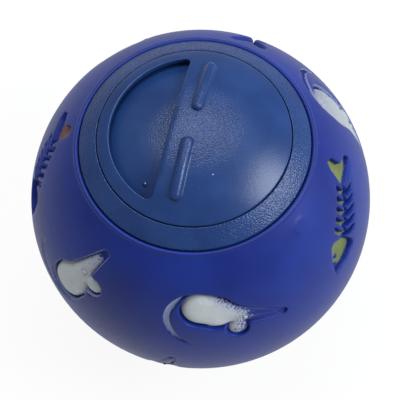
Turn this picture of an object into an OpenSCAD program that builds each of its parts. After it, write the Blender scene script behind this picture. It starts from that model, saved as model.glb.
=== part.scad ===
// Cat treat ball: a soft hollow ball with a turning dial over its mouth.
// The dial and the baffle under it each have a half-moon opening. At rest
// the two openings lie on opposite sides and the ball is shut. Half a turn
// of the dial brings them together and the ball is fully open.
// Frame: origin at the centre of the ball, +Z through the middle of the dial,
// the grips of the dial along Y at rest. Millimetres and degrees.

/* [Ball] */
// Outside diameter of the ball
ball_d = 75; // [68:1:95]
// Wall of the soft shell
ball_wall = 3.2; // [2.6:0.1:4]
// Thickness of the flange that turns in round the mouth
mouth_flange = 1.6; // [1.2:0.1:2.2]
// Radius of the round bead along the edge of the mouth
mouth_bead_r = 0.8; // [0.5:0.1:1.2]
// Height of the bead above the surface of the ball
mouth_bead_h = 0.3; // [0.1:0.1:0.6]

/* [Ring] */
// Width of the ring's flange outside its neck
ring_flange = 1.25; // [1:0.05:2.5]
// Thickness of the ring at its outer edge
ring_edge = 2; // [1.4:0.1:2.6]
// How far the ring and the dial lie below the surface of the ball
ring_sink = 0.2; // [0:0.05:0.6]
// Thickness of the lip that holds the dial down
ring_lip = 1.3; // [0.9:0.1:1.8]
// Wall of the neck round the dial
neck_wall = 1.6; // [1.2:0.1:2.4]
// Reach of the snap bead that holds the ring in the ball
ring_snap = 0.6; // [0.3:0.1:0.9]

/* [Dial] */
// Visible diameter of the dial
dial_d = 40; // [34:0.5:44]
// Wall of the dial's dome
dial_wall = 1.4; // [1:0.1:2]
// Wall of the skirt under the rim of the dial
skirt_wall = 1.4; // [1:0.1:2]
// Width of the flange that the ring's lip traps
dial_flange = 0.95; // [0.6:0.05:1.4]
// Thickness of that flange
dial_flange_t = 1.2; // [0.8:0.1:1.8]
// Radius of the round top of a grip
grip_r = 1.2; // [0.8:0.1:1.8]
// Height of a grip above the dial
grip_h = 1.1; // [0.6:0.1:1.6]
// Distance from the middle of the dial to the inner end of a grip
grip_start = 3; // [2:0.5:6]
// Length of a grip
grip_l = 12.8; // [8:0.2:13]

/* [Openings] */
// Radius of the round side of the half-moon openings
opening_r = 17.4; // [13:0.2:17.6]
// Distance from the middle of the dial to the straight side
opening_chord = 4.6; // [3:0.1:7]
// Radius of the corners of the openings
opening_corner = 1.2; // [0.6:0.1:2]

/* [Baffle] */
// Wall of the baffle's dome
baffle_wall = 1.4; // [1:0.1:2]
// Thickness of the baffle's rim
baffle_rim_t = 1.6; // [1.2:0.1:2.4]
// Width of the baffle's rim outside the dome
baffle_rim_w = 3.4; // [2.4:0.1:4]
// Width of the step in the neck that the baffle's rim sits against
baffle_step = 0.6; // [0.4:0.05:0.9]
// Reach of the snap bead that holds the baffle in the neck
baffle_snap = 0.4; // [0.2:0.05:0.6]

/* [Figures] */
// Depth of the moulded figures
figure_depth = 1.5; // [0.6:0.1:2]
// Distance along the surface from the mouth to the middle of the first row
row_gap = 12.6; // [11:0.2:16]
// Length of a mouse from its back to its nose
mouse_l = 22.7; // [18:0.1:25]
// Width of a mouse's body
mouse_w = 9; // [6:0.1:11]
// Diameter of a mouse's nose
mouse_nose_d = 1.9; // [1.4:0.1:2.6]
// Diameter of a mouse's ear
mouse_ear_d = 4.8; // [3:0.1:6]
// Distance from the middle of the body forward to the ear
mouse_ear_x = 8.6; // [8:0.1:11]
// Distance from the middle of the body sideways to the ear
mouse_ear_y = 4; // [3.5:0.1:5]
// Distance from the middle of the body forward to the eye
mouse_eye_x = 9.7; // [8:0.1:11]
// Diameter of the tail's curl
mouse_tail_d = 14.7; // [12:0.1:16]
// Width of the tail at its middle
mouse_tail_w = 1.5; // [0.8:0.1:2]
// Distance from the middle of the body sideways to the middle of the curl
mouse_tail_y = 2.7; // [1.5:0.1:3.5]
// Width of the groove round a mouse's raised body
mouse_groove = 0.5; // [0.3:0.1:0.6]
// Distance of a mouse's raised body below the surface of the ball
mouse_sink = 0.2; // [0.1:0.1:0.5]
// Length of a fish from nose to fin
fish_l = 24.6; // [21:0.1:27]
// Width of a fish
fish_w = 8.2; // [5:0.1:9]
// Length of a fish's head
fish_head = 7; // [6:0.1:8]
// Length of a fish's fin
fish_fin = 6; // [4:0.1:7]
// Width of a fish's spine and ribs
fish_bone = 1.1; // [0.8:0.1:1.4]
// Pairs of ribs on a fish
fish_ribs = 5; // [3:1:5]
// Diameter of the eyes
eye_d = 1.6; // [1:0.1:2.2]

/* [Fits] */
// Gap round the dial's rim and flange
turn_gap = 0.2; // [0.1:0.05:0.4]
// Gap above and below the dial's flange
lift_gap = 0.15; // [0.1:0.05:0.4]
// Gap between the domes of the dial and the baffle
dome_gap = 0.6; // [0.4:0.1:1.2]
// Gap round the ring and round its neck in the ball
seat_gap = 0.15; // [0.05:0.05:0.3]
// Gap round the baffle in the neck
baffle_gap = 0.1; // [0.05:0.05:0.2]
// Room behind the snap bead inside the ball
snap_room = 0.8; // [0.5:0.1:1.5]
// Flat left between the ring's seat and the bead of the mouth
bead_land = 0.05; // [0:0.05:0.2]

/* [Hidden] */
$fn = 96;
// Overcut that carries a cut clear of the face that it opens
over = 1;
soft_blue = "#26348a";
hard_blue = "#2d4f86";
white_paint = "#dcdcd8";
olive_paint = "#98983c";
orange_paint = "#a8662e";

ball_r = ball_d / 2;
inner_r = ball_r - ball_wall;
dial_r = dial_d / 2;
lid_r = ball_r - ring_sink;

// Radii of the ring, from the dial outward
lip_r = dial_r + turn_gap;
flange_r = dial_r + dial_flange;
neck_in = flange_r + turn_gap;
neck_out = neck_in + neck_wall;
ring_r = neck_out + ring_flange;
baffle_bore = neck_in + baffle_step;

// Heights of the ring, from the lip downward
lip_z = height_on(lid_r, neck_in) - ring_lip;
flange_top = lip_z - lift_gap;
flange_bottom = flange_top - dial_flange_t;
step_z = flange_bottom - lift_gap;
baffle_bottom = step_z - baffle_rim_t;
seat_z = height_on(lid_r, ring_r) - ring_edge;
mouth_under = seat_z - mouth_flange;
snap_slope = 1.6;
snap_land = 0.3;
neck_bottom = min(
    mouth_under - snap_land - snap_slope * ring_snap,
    baffle_bottom - snap_land - snap_slope * baffle_snap
) - snap_land;

// Mouth of the ball
seat_r = ring_r + seat_gap;
hole_r = neck_out + seat_gap;
relief_r = neck_out + ring_snap + snap_room;
bead_ring_r = seat_r + mouth_bead_r + bead_land;
bead_z = height_on(ball_r + mouth_bead_h, bead_ring_r) - mouth_bead_r;

// Dome of the baffle, at an even gap under the dial, and the short wall
// inside the dial's skirt that carries it on the rim
baffle_r = baffle_bore - baffle_gap;
rim_in = min(baffle_r - baffle_rim_w, dial_r - skirt_wall - turn_gap);
dome_r = lid_r - dial_wall - dome_gap;

// Rows of figures: kind, place round the ball, rise above the row's middle,
// turn of the figure, and the side that a mouse's tail curls to
mouth_lat = acos((bead_ring_r + mouth_bead_r) / ball_r);
row_lat = mouth_lat - row_gap / ball_r * 180 / PI;
UPPER_ROW = [
    ["mouse", -74.5, 0.2, -14, 1],
    ["yellow fish", -7.2, -0.5, -142, 1],
    ["mouse", 30.5, -11.8, 66, -1],
    ["yellow fish", 82, -3, -85, 1],
    ["mouse", 133, 0, -15, 1],
    ["orange fish", 192.5, -0.7, -56, 1],
    ["mouse", -129, -15.8, 68, -1]
];
LOWER_ROW = [
    ["mouse", -95.4, 0.7, 68, 1],
    ["orange fish", -38, 2, 25, 1],
    ["mouse", 20, 0, 15, -1],
    ["yellow fish", 78, 0, -20, 1],
    ["mouse", 138, 0, -15, 1],
    ["orange fish", 200, 0, 30, 1]
];

// Height of a sphere's surface at distance r from its axis
function height_on(sphere_r, r) = sqrt(sphere_r * sphere_r - r * r);

// Points along an arc, from one angle to the other
function arc(center, r, from, to, steps) = [
    for (i = [0:steps])
        let (a = from + (to - from) * i / steps)
            center + r * [cos(a), sin(a)]
];

// Half-moon outline on the +X side, with round corners
function half_moon(r, chord, corner) = let (
    x = chord + corner,
    y = sqrt(pow(r - corner, 2) - x * x),
    turn = atan2(y, x)
) concat(
    arc([0, 0], r, -turn, turn, 48),
    arc([x, y], corner, turn, 180, 8),
    arc([x, -y], corner, 180, 360 - turn, 8)
);

// Stadium outline along Y, from y = 0 to y = l
function stadium(l, w) = concat(
    arc([0, l - w / 2], w / 2, 0, 180, 16),
    arc([0, w / 2], w / 2, 180, 360, 16)
);

// Drop outline round two circles on the X axis, the first at the origin
function drop(r1, r2, l) = let (turn = acos((r1 - r2) / l)) concat(
    arc([0, 0], r1, turn, 360 - turn, 20),
    arc([l, 0], r2, -turn, turn, 6)
);

// One side of the fish, from the nose back to the notch in the fin
function fish_side(l, w, head, fin, bone, ribs) = let (
    gill = l / 2 - head,
    fin_root = fin - l / 2,
    pitch = (gill - fin_root) / (ribs + 0.4),
    slant = 0.7 * pitch
) concat(
    [[l / 2, 0], [l / 2 - 0.36 * head, 0.3 * w], [gill + bone, w / 2], [gill, w / 2 - bone / 2]],
    [
        for (i = [1:ribs], corner = [0:3])
            let (
                x = gill - (i - 0.35) * pitch + bone / 2,
                reach = w / 2 * (1 - 0.06 * i)
            )
            corner == 0 ? [x, bone / 2]
            : corner == 1 ? [x - slant, reach]
            : corner == 2 ? [x - slant - bone, reach]
            : [x - bone, bone / 2]
    ],
    [
        [fin_root, bone / 2],
        [0.35 * fin - l / 2, 0.44 * w],
        [0.1 * fin - l / 2, w / 2],
        [-l / 2, 0.32 * w],
        [0.25 * fin - l / 2, 0]
    ]
);

function mirrored(points) = [
    for (i = [len(points) - 2:-1:1])
        [points[i].x, -points[i].y]
];

// Crescent that opens towards a given angle, of a given width at its middle
module crescent(d, w, open_to) {
    shift = w / 0.62;
    difference() {
        circle(d = d);
        rotate(open_to)
            translate([shift, 0])
                circle(d = d + 2 * (shift - w));
    }
}

// Flat outline of a mouse about the middle of its body: body, nose, ear and
// curled tail, with its eye left standing
module mouse_outline(tail_side) {
    nose_x = mouse_l - (mouse_w + mouse_nose_d) / 2;
    difference() {
        union() {
            polygon(drop(mouse_w / 2, mouse_nose_d / 2, nose_x));
            translate([mouse_ear_x, -mouse_ear_y])
                circle(d = mouse_ear_d);
            translate([0, -tail_side * mouse_tail_y])
                crescent(mouse_tail_d, mouse_tail_w, 8 * tail_side);
        }
        translate([mouse_eye_x, -mouse_w / 9])
            circle(d = eye_d);
    }
}

// Flat outline of a mouse's raised body and ear inside their groove
module mouse_body() {
    nose_x = mouse_l - (mouse_w + mouse_nose_d) / 2;
    polygon(drop(mouse_w / 2 - mouse_groove, mouse_nose_d / 2 - mouse_groove, nose_x));
    translate([mouse_ear_x, -mouse_ear_y])
        circle(d = mouse_ear_d - 2 * mouse_groove);
}

// Flat outline of a fish's bones: head, spine with ribs, and fin
module fish_outline() {
    side = fish_side(fish_l, fish_w, fish_head, fish_fin, fish_bone, fish_ribs);
    difference() {
        polygon(concat(side, mirrored(side)));
        translate([(fish_l - fish_head) / 2, 0])
            circle(d = eye_d);
    }
}

// Stands a figure up on the surface of the ball
module on_ball(place, lat, turn) {
    rotate([0, 90 - lat, place])
        rotate([0, 0, 90 + turn])
            translate([0, 0, ball_r / 2])
                linear_extrude(ball_r / 2 + over)
                    children();
}

// Every figure of one kind in both rows
module figures(kind) {
    rows = concat(
        [for (f = UPPER_ROW) [f[0], f[1], row_lat + f[2], f[3], f[4]]],
        [for (f = LOWER_ROW) [f[0], f[1], -row_lat + f[2], f[3], f[4]]]
    );
    difference() {
        for (f = rows)
            if (f[0] == kind)
                on_ball(f[1], f[2], f[3])
                    if (f[0] == "mouse")
                        mouse_outline(f[4]);
                    else
                        fish_outline();
        sphere(ball_r - figure_depth);
        if (kind == "mouse")
            intersection() {
                for (f = rows)
                    if (f[0] == kind)
                        on_ball(f[1], f[2], f[3])
                            mouse_body();
                sphere(ball_r - mouse_sink);
            }
    }
}

// Plain hollow ball with its mouth
module ball_blank() {
    difference() {
        union() {
            difference() {
                sphere(ball_r);
                translate([0, 0, bead_z])
                    cylinder(r = bead_ring_r, h = ball_r);
            }
            rotate_extrude()
                translate([bead_ring_r, bead_z])
                    circle(mouth_bead_r);
        }
        translate([0, 0, seat_z])
            cylinder(r = seat_r, h = ball_r);
        translate([0, 0, mouth_under - over])
            cylinder(r = hole_r, h = ball_r);
        intersection() {
            union() {
                sphere(inner_r);
                cylinder(r = relief_r, h = ball_r);
            }
            translate([0, 0, mouth_under - ball_d])
                cylinder(r = ball_r, h = ball_d);
        }
    }
}

module ball_shell() {
    difference() {
        color(soft_blue)
            ball_blank();
        color(white_paint)
            figures("mouse");
        color(olive_paint)
            figures("yellow fish");
        color(orange_paint)
            figures("orange fish");
    }
}

// Ring in the mouth of the ball, with the neck that holds dial and baffle
module port_ring() {
    snap_out = mouth_under - snap_land;
    snap_in = baffle_bottom - snap_land;
    color(hard_blue)
        intersection() {
            sphere(lid_r);
            rotate_extrude()
                polygon([
                    [lip_r, lip_z],
                    [lip_r, ball_r],
                    [ring_r, ball_r],
                    [ring_r, seat_z],
                    [neck_out, seat_z],
                    [neck_out, mouth_under],
                    [neck_out + ring_snap, mouth_under],
                    [neck_out + ring_snap, snap_out],
                    [neck_out, snap_out - snap_slope * ring_snap],
                    [neck_out, neck_bottom],
                    [baffle_bore, neck_bottom],
                    [baffle_bore, snap_in - snap_slope * baffle_snap],
                    [baffle_bore - baffle_snap, snap_in],
                    [baffle_bore - baffle_snap, baffle_bottom],
                    [baffle_bore, baffle_bottom],
                    [baffle_bore, step_z],
                    [neck_in, step_z],
                    [neck_in, lip_z]
                ]);
        }
}

// Half-moon hole right through a dome, on the side given by its turn
module opening(turn) {
    rotate(turn)
        linear_extrude(ball_r + over)
            polygon(half_moon(opening_r, opening_chord, opening_corner));
}

// Fixed dome under the dial, open on the +X side
module baffle() {
    color(hard_blue)
        difference() {
            union() {
                intersection() {
                    sphere(dome_r);
                    translate([0, 0, baffle_bottom])
                        cylinder(r = rim_in, h = ball_r);
                }
                translate([0, 0, baffle_bottom])
                    cylinder(r = baffle_r, h = baffle_rim_t);
            }
            intersection() {
                sphere(dome_r - baffle_wall);
                cylinder(r = rim_in - baffle_wall, h = ball_r);
            }
            opening(0);
        }
}

// Round bar that follows the dome of the dial
module grip(turn) {
    rotate(turn)
        intersection() {
            rotate([0, 90, 0])
                rotate_extrude()
                    translate([lid_r + grip_h - grip_r, 0])
                        circle(grip_r);
            translate([0, grip_start, 0])
                linear_extrude(ball_d)
                    polygon(stadium(grip_l, 2 * grip_r));
        }
}

// Turning dial, open on the -X side at rest
module dial() {
    color(hard_blue)
        difference() {
            union() {
                intersection() {
                    sphere(lid_r);
                    translate([0, 0, flange_bottom])
                        cylinder(r = dial_r, h = ball_r);
                }
                translate([0, 0, flange_bottom])
                    cylinder(r = flange_r, h = dial_flange_t);
                grip(0);
                grip(180);
            }
            intersection() {
                sphere(lid_r - dial_wall);
                cylinder(r = dial_r - skirt_wall, h = ball_r);
            }
            opening(180);
        }
}

ball_shell();
port_ring();
baffle();
dial();
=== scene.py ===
"""Looks of a cat treat ball: a soft painted ball with a turning dial in its mouth.

Meshes are worked out in millimetres about the middle of the ball and written in metres.
"""

import logging
import math
from dataclasses import dataclass, field
from enum import Enum
from typing import Any, Optional, Sequence, Union

import bmesh
import bpy
import numpy as np
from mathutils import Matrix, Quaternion, Vector
from mathutils.geometry import delaunay_2d_cdt


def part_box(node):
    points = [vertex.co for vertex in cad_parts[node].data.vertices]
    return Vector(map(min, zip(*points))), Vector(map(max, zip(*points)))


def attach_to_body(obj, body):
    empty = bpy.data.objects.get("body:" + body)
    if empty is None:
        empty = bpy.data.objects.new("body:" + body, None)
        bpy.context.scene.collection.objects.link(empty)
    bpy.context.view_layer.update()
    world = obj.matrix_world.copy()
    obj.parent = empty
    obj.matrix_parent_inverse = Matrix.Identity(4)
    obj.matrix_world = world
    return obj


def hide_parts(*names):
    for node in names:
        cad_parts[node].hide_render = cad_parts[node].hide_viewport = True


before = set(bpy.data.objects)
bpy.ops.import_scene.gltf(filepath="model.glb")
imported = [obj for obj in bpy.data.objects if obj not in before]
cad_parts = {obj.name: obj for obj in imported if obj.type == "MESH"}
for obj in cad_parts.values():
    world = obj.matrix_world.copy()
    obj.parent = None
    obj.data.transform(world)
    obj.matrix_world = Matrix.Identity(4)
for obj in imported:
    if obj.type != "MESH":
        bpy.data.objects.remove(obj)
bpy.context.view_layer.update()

MM = 0.001
LOG = logging.getLogger("treat_ball")

Colour = tuple[float, float, float]
Number = Union["Signal", float]
Values = Union[float, np.ndarray]


class Signal:
    """A node's output that can stand in a Python expression."""

    def __init__(self, bench: "NodeBench", socket: bpy.types.NodeSocket) -> None:
        """Keeps the socket and the bench that its tree belongs to."""
        self.bench = bench
        self.socket = socket

    def math(self, operation: str, first: Number, second: Number = 0.0) -> "Signal":
        """Adds one Math node.

        Args:
            operation: name of the Math node's operation.
            first: first operand.
            second: second operand, where the operation has one.
        Returns:
            The node's value.
        """
        return self.bench.add("ShaderNodeMath", {"operation": operation}, {0: first, 1: second})

    def __add__(self, other: Number) -> "Signal":
        """Sum."""
        return self.math("ADD", self, other)

    def __sub__(self, other: Number) -> "Signal":
        """Difference."""
        return self.math("SUBTRACT", self, other)

    def __rsub__(self, other: Number) -> "Signal":
        """Difference with the number first."""
        return self.math("SUBTRACT", other, self)

    def __mul__(self, other: Number) -> "Signal":
        """Product."""
        return self.math("MULTIPLY", self, other)

    def __truediv__(self, other: Number) -> "Signal":
        """Quotient."""
        return self.math("DIVIDE", self, other)

    def __pow__(self, other: Number) -> "Signal":
        """Power."""
        return self.math("POWER", self, other)

    __radd__ = __add__
    __rmul__ = __mul__

    def above(self, low: float, high: float) -> "Signal":
        """Smooth step from 0 at low to 1 at high.

        Args:
            low: value where the step starts.
            high: value where it ends.
        Returns:
            The step.
        """
        return self.bench.add(
            "ShaderNodeMapRange",
            {"interpolation_type": "SMOOTHSTEP"},
            {"Value": self, "From Min": low, "From Max": high},
        )

    def larger(self, other: Number) -> "Signal":
        """The larger of two values."""
        return self.math("MAXIMUM", self, other)


class NodeBench:
    """Adds nodes to one tree, of a material or of Geometry Nodes."""

    def __init__(self, tree: bpy.types.NodeTree) -> None:
        """Keeps the tree."""
        self.tree = tree

    @staticmethod
    def pick(sockets: Any, key: Union[str, int]) -> bpy.types.NodeSocket:
        """Finds a socket by place, identifier or name.

        Args:
            sockets: a node's inputs or outputs.
            key: place, identifier or name.
        Returns:
            The socket.
        """
        if isinstance(key, int):
            return sockets[key]
        same = [s for s in sockets if s.identifier == key]
        return same[0] if same else sockets[key]

    def add(
        self,
        kind: str,
        settings: Optional[dict[str, Any]] = None,
        inputs: Optional[dict[Union[str, int], Any]] = None,
        output: Union[str, int] = 0,
    ) -> Signal:
        """Adds one node of any type.

        Args:
            kind: the node's type.
            settings: properties that are set first.
            inputs: value or Signal of each socket, by place, identifier or name.
            output: the output that is handed back.
        Returns:
            That output.
        """
        node = self.tree.nodes.new(kind)
        for name, value in (settings or {}).items():
            setattr(node, name, value)
        for key, value in (inputs or {}).items():
            socket = self.pick(node.inputs, key)
            if isinstance(value, Signal):
                self.tree.links.new(value.socket, socket)
            else:
                socket.default_value = value
        return Signal(self, self.pick(node.outputs, output) if len(node.outputs) else None)

    def end(self, kind: str, inputs: dict[Union[str, int], Signal]) -> None:
        """Adds the node that a tree ends in.

        Args:
            kind: type of the node.
            inputs: what goes into its sockets.
        """
        node = self.tree.nodes.new(kind)
        for key, value in inputs.items():
            self.tree.links.new(value.socket, self.pick(node.inputs, key))


class PaintBench(NodeBench):
    """A material's tree, with the patterns that its finishes share."""

    def __init__(self, name: str) -> None:
        """Makes an empty material.

        Args:
            name: the material's name.
        """
        self.material = bpy.data.materials.new(name)
        self.material.use_nodes = True
        super().__init__(self.material.node_tree)
        self.tree.nodes.clear()
        self.place = self.add("ShaderNodeTexCoord", output="Object")

    def noise(self, grain: float, detail: float = 2.0, stretch: float = 0.0) -> Signal:
        """Soft noise.

        Args:
            grain: size of its lumps in millimetres.
            detail: octaves.
            stretch: distortion.
        Returns:
            A value about 0.5.
        """
        inputs = {
            "Vector": self.place,
            "Scale": 1.0 / (grain * MM),
            "Detail": detail,
            "Roughness": 0.5,
            "Distortion": stretch,
        }
        return self.add("ShaderNodeTexNoise", {"noise_dimensions": "3D"}, inputs)

    def specks(self, pitch: float, size: float) -> Signal:
        """Sparse round specks.

        Args:
            pitch: mean distance between them in millimetres.
            size: radius of a speck in millimetres.
        Returns:
            1 on a speck and 0 elsewhere.
        """
        inputs = {"Vector": self.place, "Scale": 1.0 / (pitch * MM)}
        far = self.add("ShaderNodeTexVoronoi", {"feature": "F1"}, inputs, "Distance")
        return 1.0 - far.above(0.6 * size / pitch, size / pitch)

    def pip(self, point: tuple[float, float, float], size: float) -> Signal:
        """One round spot, the dust speck of the dial and the painted glint of the baffle's nub.

        Args:
            point: its middle in millimetres.
            size: its radius in millimetres.
        Returns:
            1 on the spot and 0 elsewhere.
        """
        middle = tuple(c * MM for c in point)
        inputs = {0: self.place, 1: middle}
        far = self.add("ShaderNodeVectorMath", {"operation": "DISTANCE"}, inputs, "Value")
        return 1.0 - far.above(0.5 * size * MM, size * MM)

    def off_axis(self) -> Signal:
        """Distance from the axis of the dial in millimetres.

        Returns:
            The distance.
        """
        inputs = {0: self.place, 1: (1.0, 1.0, 0.0)}
        flat = self.add("ShaderNodeVectorMath", {"operation": "MULTIPLY"}, inputs)
        return self.add("ShaderNodeVectorMath", {"operation": "LENGTH"}, {0: flat}, "Value") / MM

    def mix(self, share: Number, first: Any, second: Any) -> Signal:
        """Blends two colours.

        Args:
            share: part of the second colour.
            first: colour or Signal.
            second: colour or Signal.
        Returns:
            The blend.
        """
        colours = [c if isinstance(c, Signal) else (*c, 1.0) for c in (first, second)]
        inputs = {"Factor_Float": share, "A_Color": colours[0], "B_Color": colours[1]}
        return self.add("ShaderNodeMix", {"data_type": "RGBA"}, inputs, "Result_Color")

    def attribute(self, name: str, output: str) -> Signal:
        """Reads one of the mesh's own attributes."""
        return self.add("ShaderNodeAttribute", {"attribute_name": name}, output=output)

    def bump(self, height: Signal, depth: float, under: Optional[Signal] = None) -> Signal:
        """Turns a height into a normal.

        Args:
            height: value from 0 to 1.
            depth: depth of the relief in millimetres.
            under: normal of a coarser relief below it.
        Returns:
            The normal.
        """
        inputs = {"Height": height, "Distance": depth * MM, "Strength": 1.0}
        if under is not None:
            inputs["Normal"] = under
        return self.add("ShaderNodeBump", inputs=inputs)

    def close(self, surface: Signal) -> bpy.types.Material:
        """Ends the tree in its output and returns the material."""
        self.end("ShaderNodeOutputMaterial", {"Surface": surface})
        return self.material


@dataclass(frozen=True)
class SoftVinyl:
    """Satin soft vinyl with painted figure floors; its patterns are sized in millimetres."""

    deep: Colour = (0.0042, 0.0152, 0.15)
    pale: Colour = (0.0066, 0.0238, 0.208)
    dust: Colour = (0.25, 0.28, 0.36)
    roughness: float = 0.45
    paint_roughness: float = 0.62
    ior: float = 1.3
    cloud_size: float = 16.0
    skin_size: float = 0.9
    skin_depth: float = 0.01
    wave_size: float = 5.0
    wave_depth: float = 0.05
    speck_pitch: float = 7.0
    speck_r: float = 0.14
    speck_cloud: float = 11.0
    speck_share: float = 0.5
    spray_size: float = 0.4
    spray_depth: float = 0.06
    spray_gain: float = 1.35
    spray_spread: float = 1.6
    wear_size: float = 2.6
    wear_share: float = 0.1
    thinnest: float = 0.36
    skin_gloss: float = 0.1
    cloud_gloss: float = 0.14

    def material(self) -> bpy.types.Material:
        """Builds the material.

        Returns:
            The material.
        """
        bench = PaintBench("soft_vinyl")
        cloud = bench.noise(self.cloud_size, 3.0)
        skin = bench.noise(self.skin_size)
        base = bench.mix(cloud.above(0.3, 0.7), self.deep, self.pale)
        dusty = bench.noise(self.speck_cloud).above(0.5, 0.6)
        dust = bench.specks(self.speck_pitch, self.speck_r) * dusty
        base = bench.mix(dust * self.speck_share, base, self.dust)
        # The cover and tint also carry painted light: a highlight line along some rims and painted shade on
        # one mouse
        cover = bench.attribute("paint_and_highlight_cover", "Fac")
        spray = bench.noise(self.spray_size, 1.0)
        droplets = cover * self.spray_gain + (spray - 0.5) * self.spray_spread - 0.5
        mask = droplets.above(-0.25, 0.3) * cover.above(0.0, 0.12)
        thin = bench.noise(self.wear_size).above(0.25, 0.75)
        tint = bench.mix(thin * self.wear_share, bench.attribute("paint_shade_and_highlight_tint", "Color"), self.pale)
        colour = bench.mix(mask * (self.thinnest + cover * (1.0 - self.thinnest)), base, tint)
        gloss = self.roughness + (skin - 0.5) * self.skin_gloss + (cloud - 0.5) * self.cloud_gloss
        rough = gloss + mask * (self.paint_roughness - self.roughness)
        relief = bench.bump(bench.noise(self.wave_size), self.wave_depth)
        relief = bench.bump(skin, self.skin_depth, relief)
        relief = bench.bump(mask * spray, self.spray_depth, relief)
        inputs = {"Base Color": colour, "Roughness": rough, "Normal": relief, "IOR": self.ior}
        return bench.close(bench.add("ShaderNodeBsdfPrincipled", inputs=inputs))


@dataclass(frozen=True)
class GrainedPlastic:
    """Hard moulded plastic with a fine spark-eroded grain; its patterns are sized in millimetres."""

    name: str
    deep: Colour = (0.0078, 0.03, 0.124)
    pale: Colour = (0.0115, 0.041, 0.152)
    # Colour of dust specks and scuffs, and of the bright spot, which on the baffle's nub is a painted glint
    dust: Colour = (0.45, 0.5, 0.6)
    roughness: float = 0.31
    grain: float = 0.36
    grain_depth: float = 0.12
    grain_gloss: float = 0.3
    grain_reach: Optional[float] = None
    # Bright spot: a dust speck on the dial and a painted glint on the baffle's nub
    pip: Optional[tuple[float, float, float]] = None
    pip_r: float = 0.16
    ior: float = 1.38
    cloud_size: float = 9.0
    wave_size: float = 4.0
    wave_depth: float = 0.02
    speck_pitch: float = 6.0
    speck_r: float = 0.13
    speck_cloud: float = 8.0
    speck_share: float = 0.6
    scuff_size: float = 0.35
    scuff_cloud: float = 6.0
    scuff_share: float = 0.1
    cloud_gloss: float = 0.1

    @classmethod
    def on_dome(cls, name: str, reach: float, pip: tuple[float, float, float]) -> "GrainedPlastic":
        """Finish of a dome: a finer grain, strongest within a reach of the axis, and one bright spot, a
        dust speck on the dial and a painted glint on the baffle's nub.
        """
        return cls(name, grain=0.3, grain_depth=0.09, grain_reach=reach, pip=pip)

    def material(self) -> bpy.types.Material:
        """Builds the material.

        Returns:
            The material.
        """
        bench = PaintBench(self.name)
        cloud = bench.noise(self.cloud_size, 3.0)
        grain = bench.noise(self.grain, 1.0)
        if self.grain_reach is not None:
            near = 1.2 - bench.off_axis().above(0.6 * self.grain_reach, self.grain_reach)
            grain = (grain - 0.5) * near + 0.5
        base = bench.mix(cloud.above(0.3, 0.7), self.deep, self.pale)
        dusty = bench.noise(self.speck_cloud).above(0.54, 0.62)
        dust = bench.specks(self.speck_pitch, self.speck_r) * dusty
        scuff = bench.noise(self.scuff_size, 1.0, stretch=2.0).above(0.68, 0.78)
        scuff = scuff * bench.noise(self.scuff_cloud).above(0.55, 0.7)
        specks_scuffs_and_glint = (dust * self.speck_share).larger(scuff * self.scuff_share)
        # The bright spot is a dust speck on the dial and a painted glint on the baffle's nub
        if self.pip is not None:
            specks_scuffs_and_glint = specks_scuffs_and_glint.larger(bench.pip(self.pip, self.pip_r))
        colour = bench.mix(specks_scuffs_and_glint, base, self.dust)
        rough = self.roughness + (cloud - 0.5) * self.cloud_gloss + (grain - 0.5) * self.grain_gloss
        relief = bench.bump(bench.noise(self.wave_size, 1.0), self.wave_depth)
        relief = bench.bump(grain, self.grain_depth, relief)
        inputs = {"Base Color": colour, "Roughness": rough, "Normal": relief, "IOR": self.ior}
        return bench.close(bench.add("ShaderNodeBsdfPrincipled", inputs=inputs))


class SweepTree:
    """A Geometry Nodes tree that sweeps a drawn outline along a path."""

    def __init__(self, name: str, sizes: dict[str, str]) -> None:
        """Makes the tree with its named inputs.

        Args:
            name: the tree's name.
            sizes: socket type of each input, by name.
        """
        self.tree = bpy.data.node_groups.new(name, "GeometryNodeTree")
        self.bench = NodeBench(self.tree)
        face = self.tree.interface
        face.new_socket("Geometry", in_out="INPUT", socket_type="NodeSocketGeometry")
        face.new_socket("Geometry", in_out="OUTPUT", socket_type="NodeSocketGeometry")
        for size, kind in {**sizes, "Finish": "NodeSocketMaterial"}.items():
            face.new_socket(size, in_out="INPUT", socket_type=kind)
        self.entry = self.tree.nodes.new("NodeGroupInput")

    def given(self, name: str) -> Signal:
        """One of the tree's inputs."""
        return Signal(self.bench, self.entry.outputs[name])

    def close(self, shape: Signal) -> None:
        """Ends the tree in smooth, realised and dressed geometry.

        Args:
            shape: the swept geometry.
        """
        smooth = self.bench.add("GeometryNodeSetShadeSmooth", inputs={"Geometry": shape})
        real = self.bench.add("GeometryNodeRealizeInstances", inputs={"Geometry": smooth})
        dressed = self.bench.add(
            "GeometryNodeSetMaterial", inputs={"Geometry": real, "Material": self.given("Finish")}
        )
        self.bench.end("NodeGroupOutput", {0: dressed})

    def make(self, outline: np.ndarray, values: dict[str, Any]) -> bpy.types.Mesh:
        """Runs the tree on an outline.

        Args:
            outline: closed or open outline in metres, in the XY plane.
            values: the tree's inputs, by name.
        Returns:
            A plain mesh.
        """
        count = len(outline)
        drawn = bpy.data.meshes.new(self.tree.name)
        edges = [(i, (i + 1) % count) for i in range(count if values.pop("Closed") else count - 1)]
        drawn.from_pydata(np.column_stack([outline, np.zeros(count)]).tolist(), edges, [])
        carrier = bpy.data.objects.new(self.tree.name, drawn)
        bpy.context.scene.collection.objects.link(carrier)
        modifier = carrier.modifiers.new(self.tree.name, "NODES")
        modifier.node_group = self.tree
        for item in self.tree.interface.items_tree:
            if item.in_out == "INPUT" and item.name in values:
                modifier[item.identifier] = values[item.name]
        graph = bpy.context.evaluated_depsgraph_get()
        mesh = bpy.data.meshes.new_from_object(carrier.evaluated_get(graph))
        carrier.modifiers.remove(modifier)
        bpy.data.objects.remove(carrier)
        bpy.data.meshes.remove(drawn)
        return mesh


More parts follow.
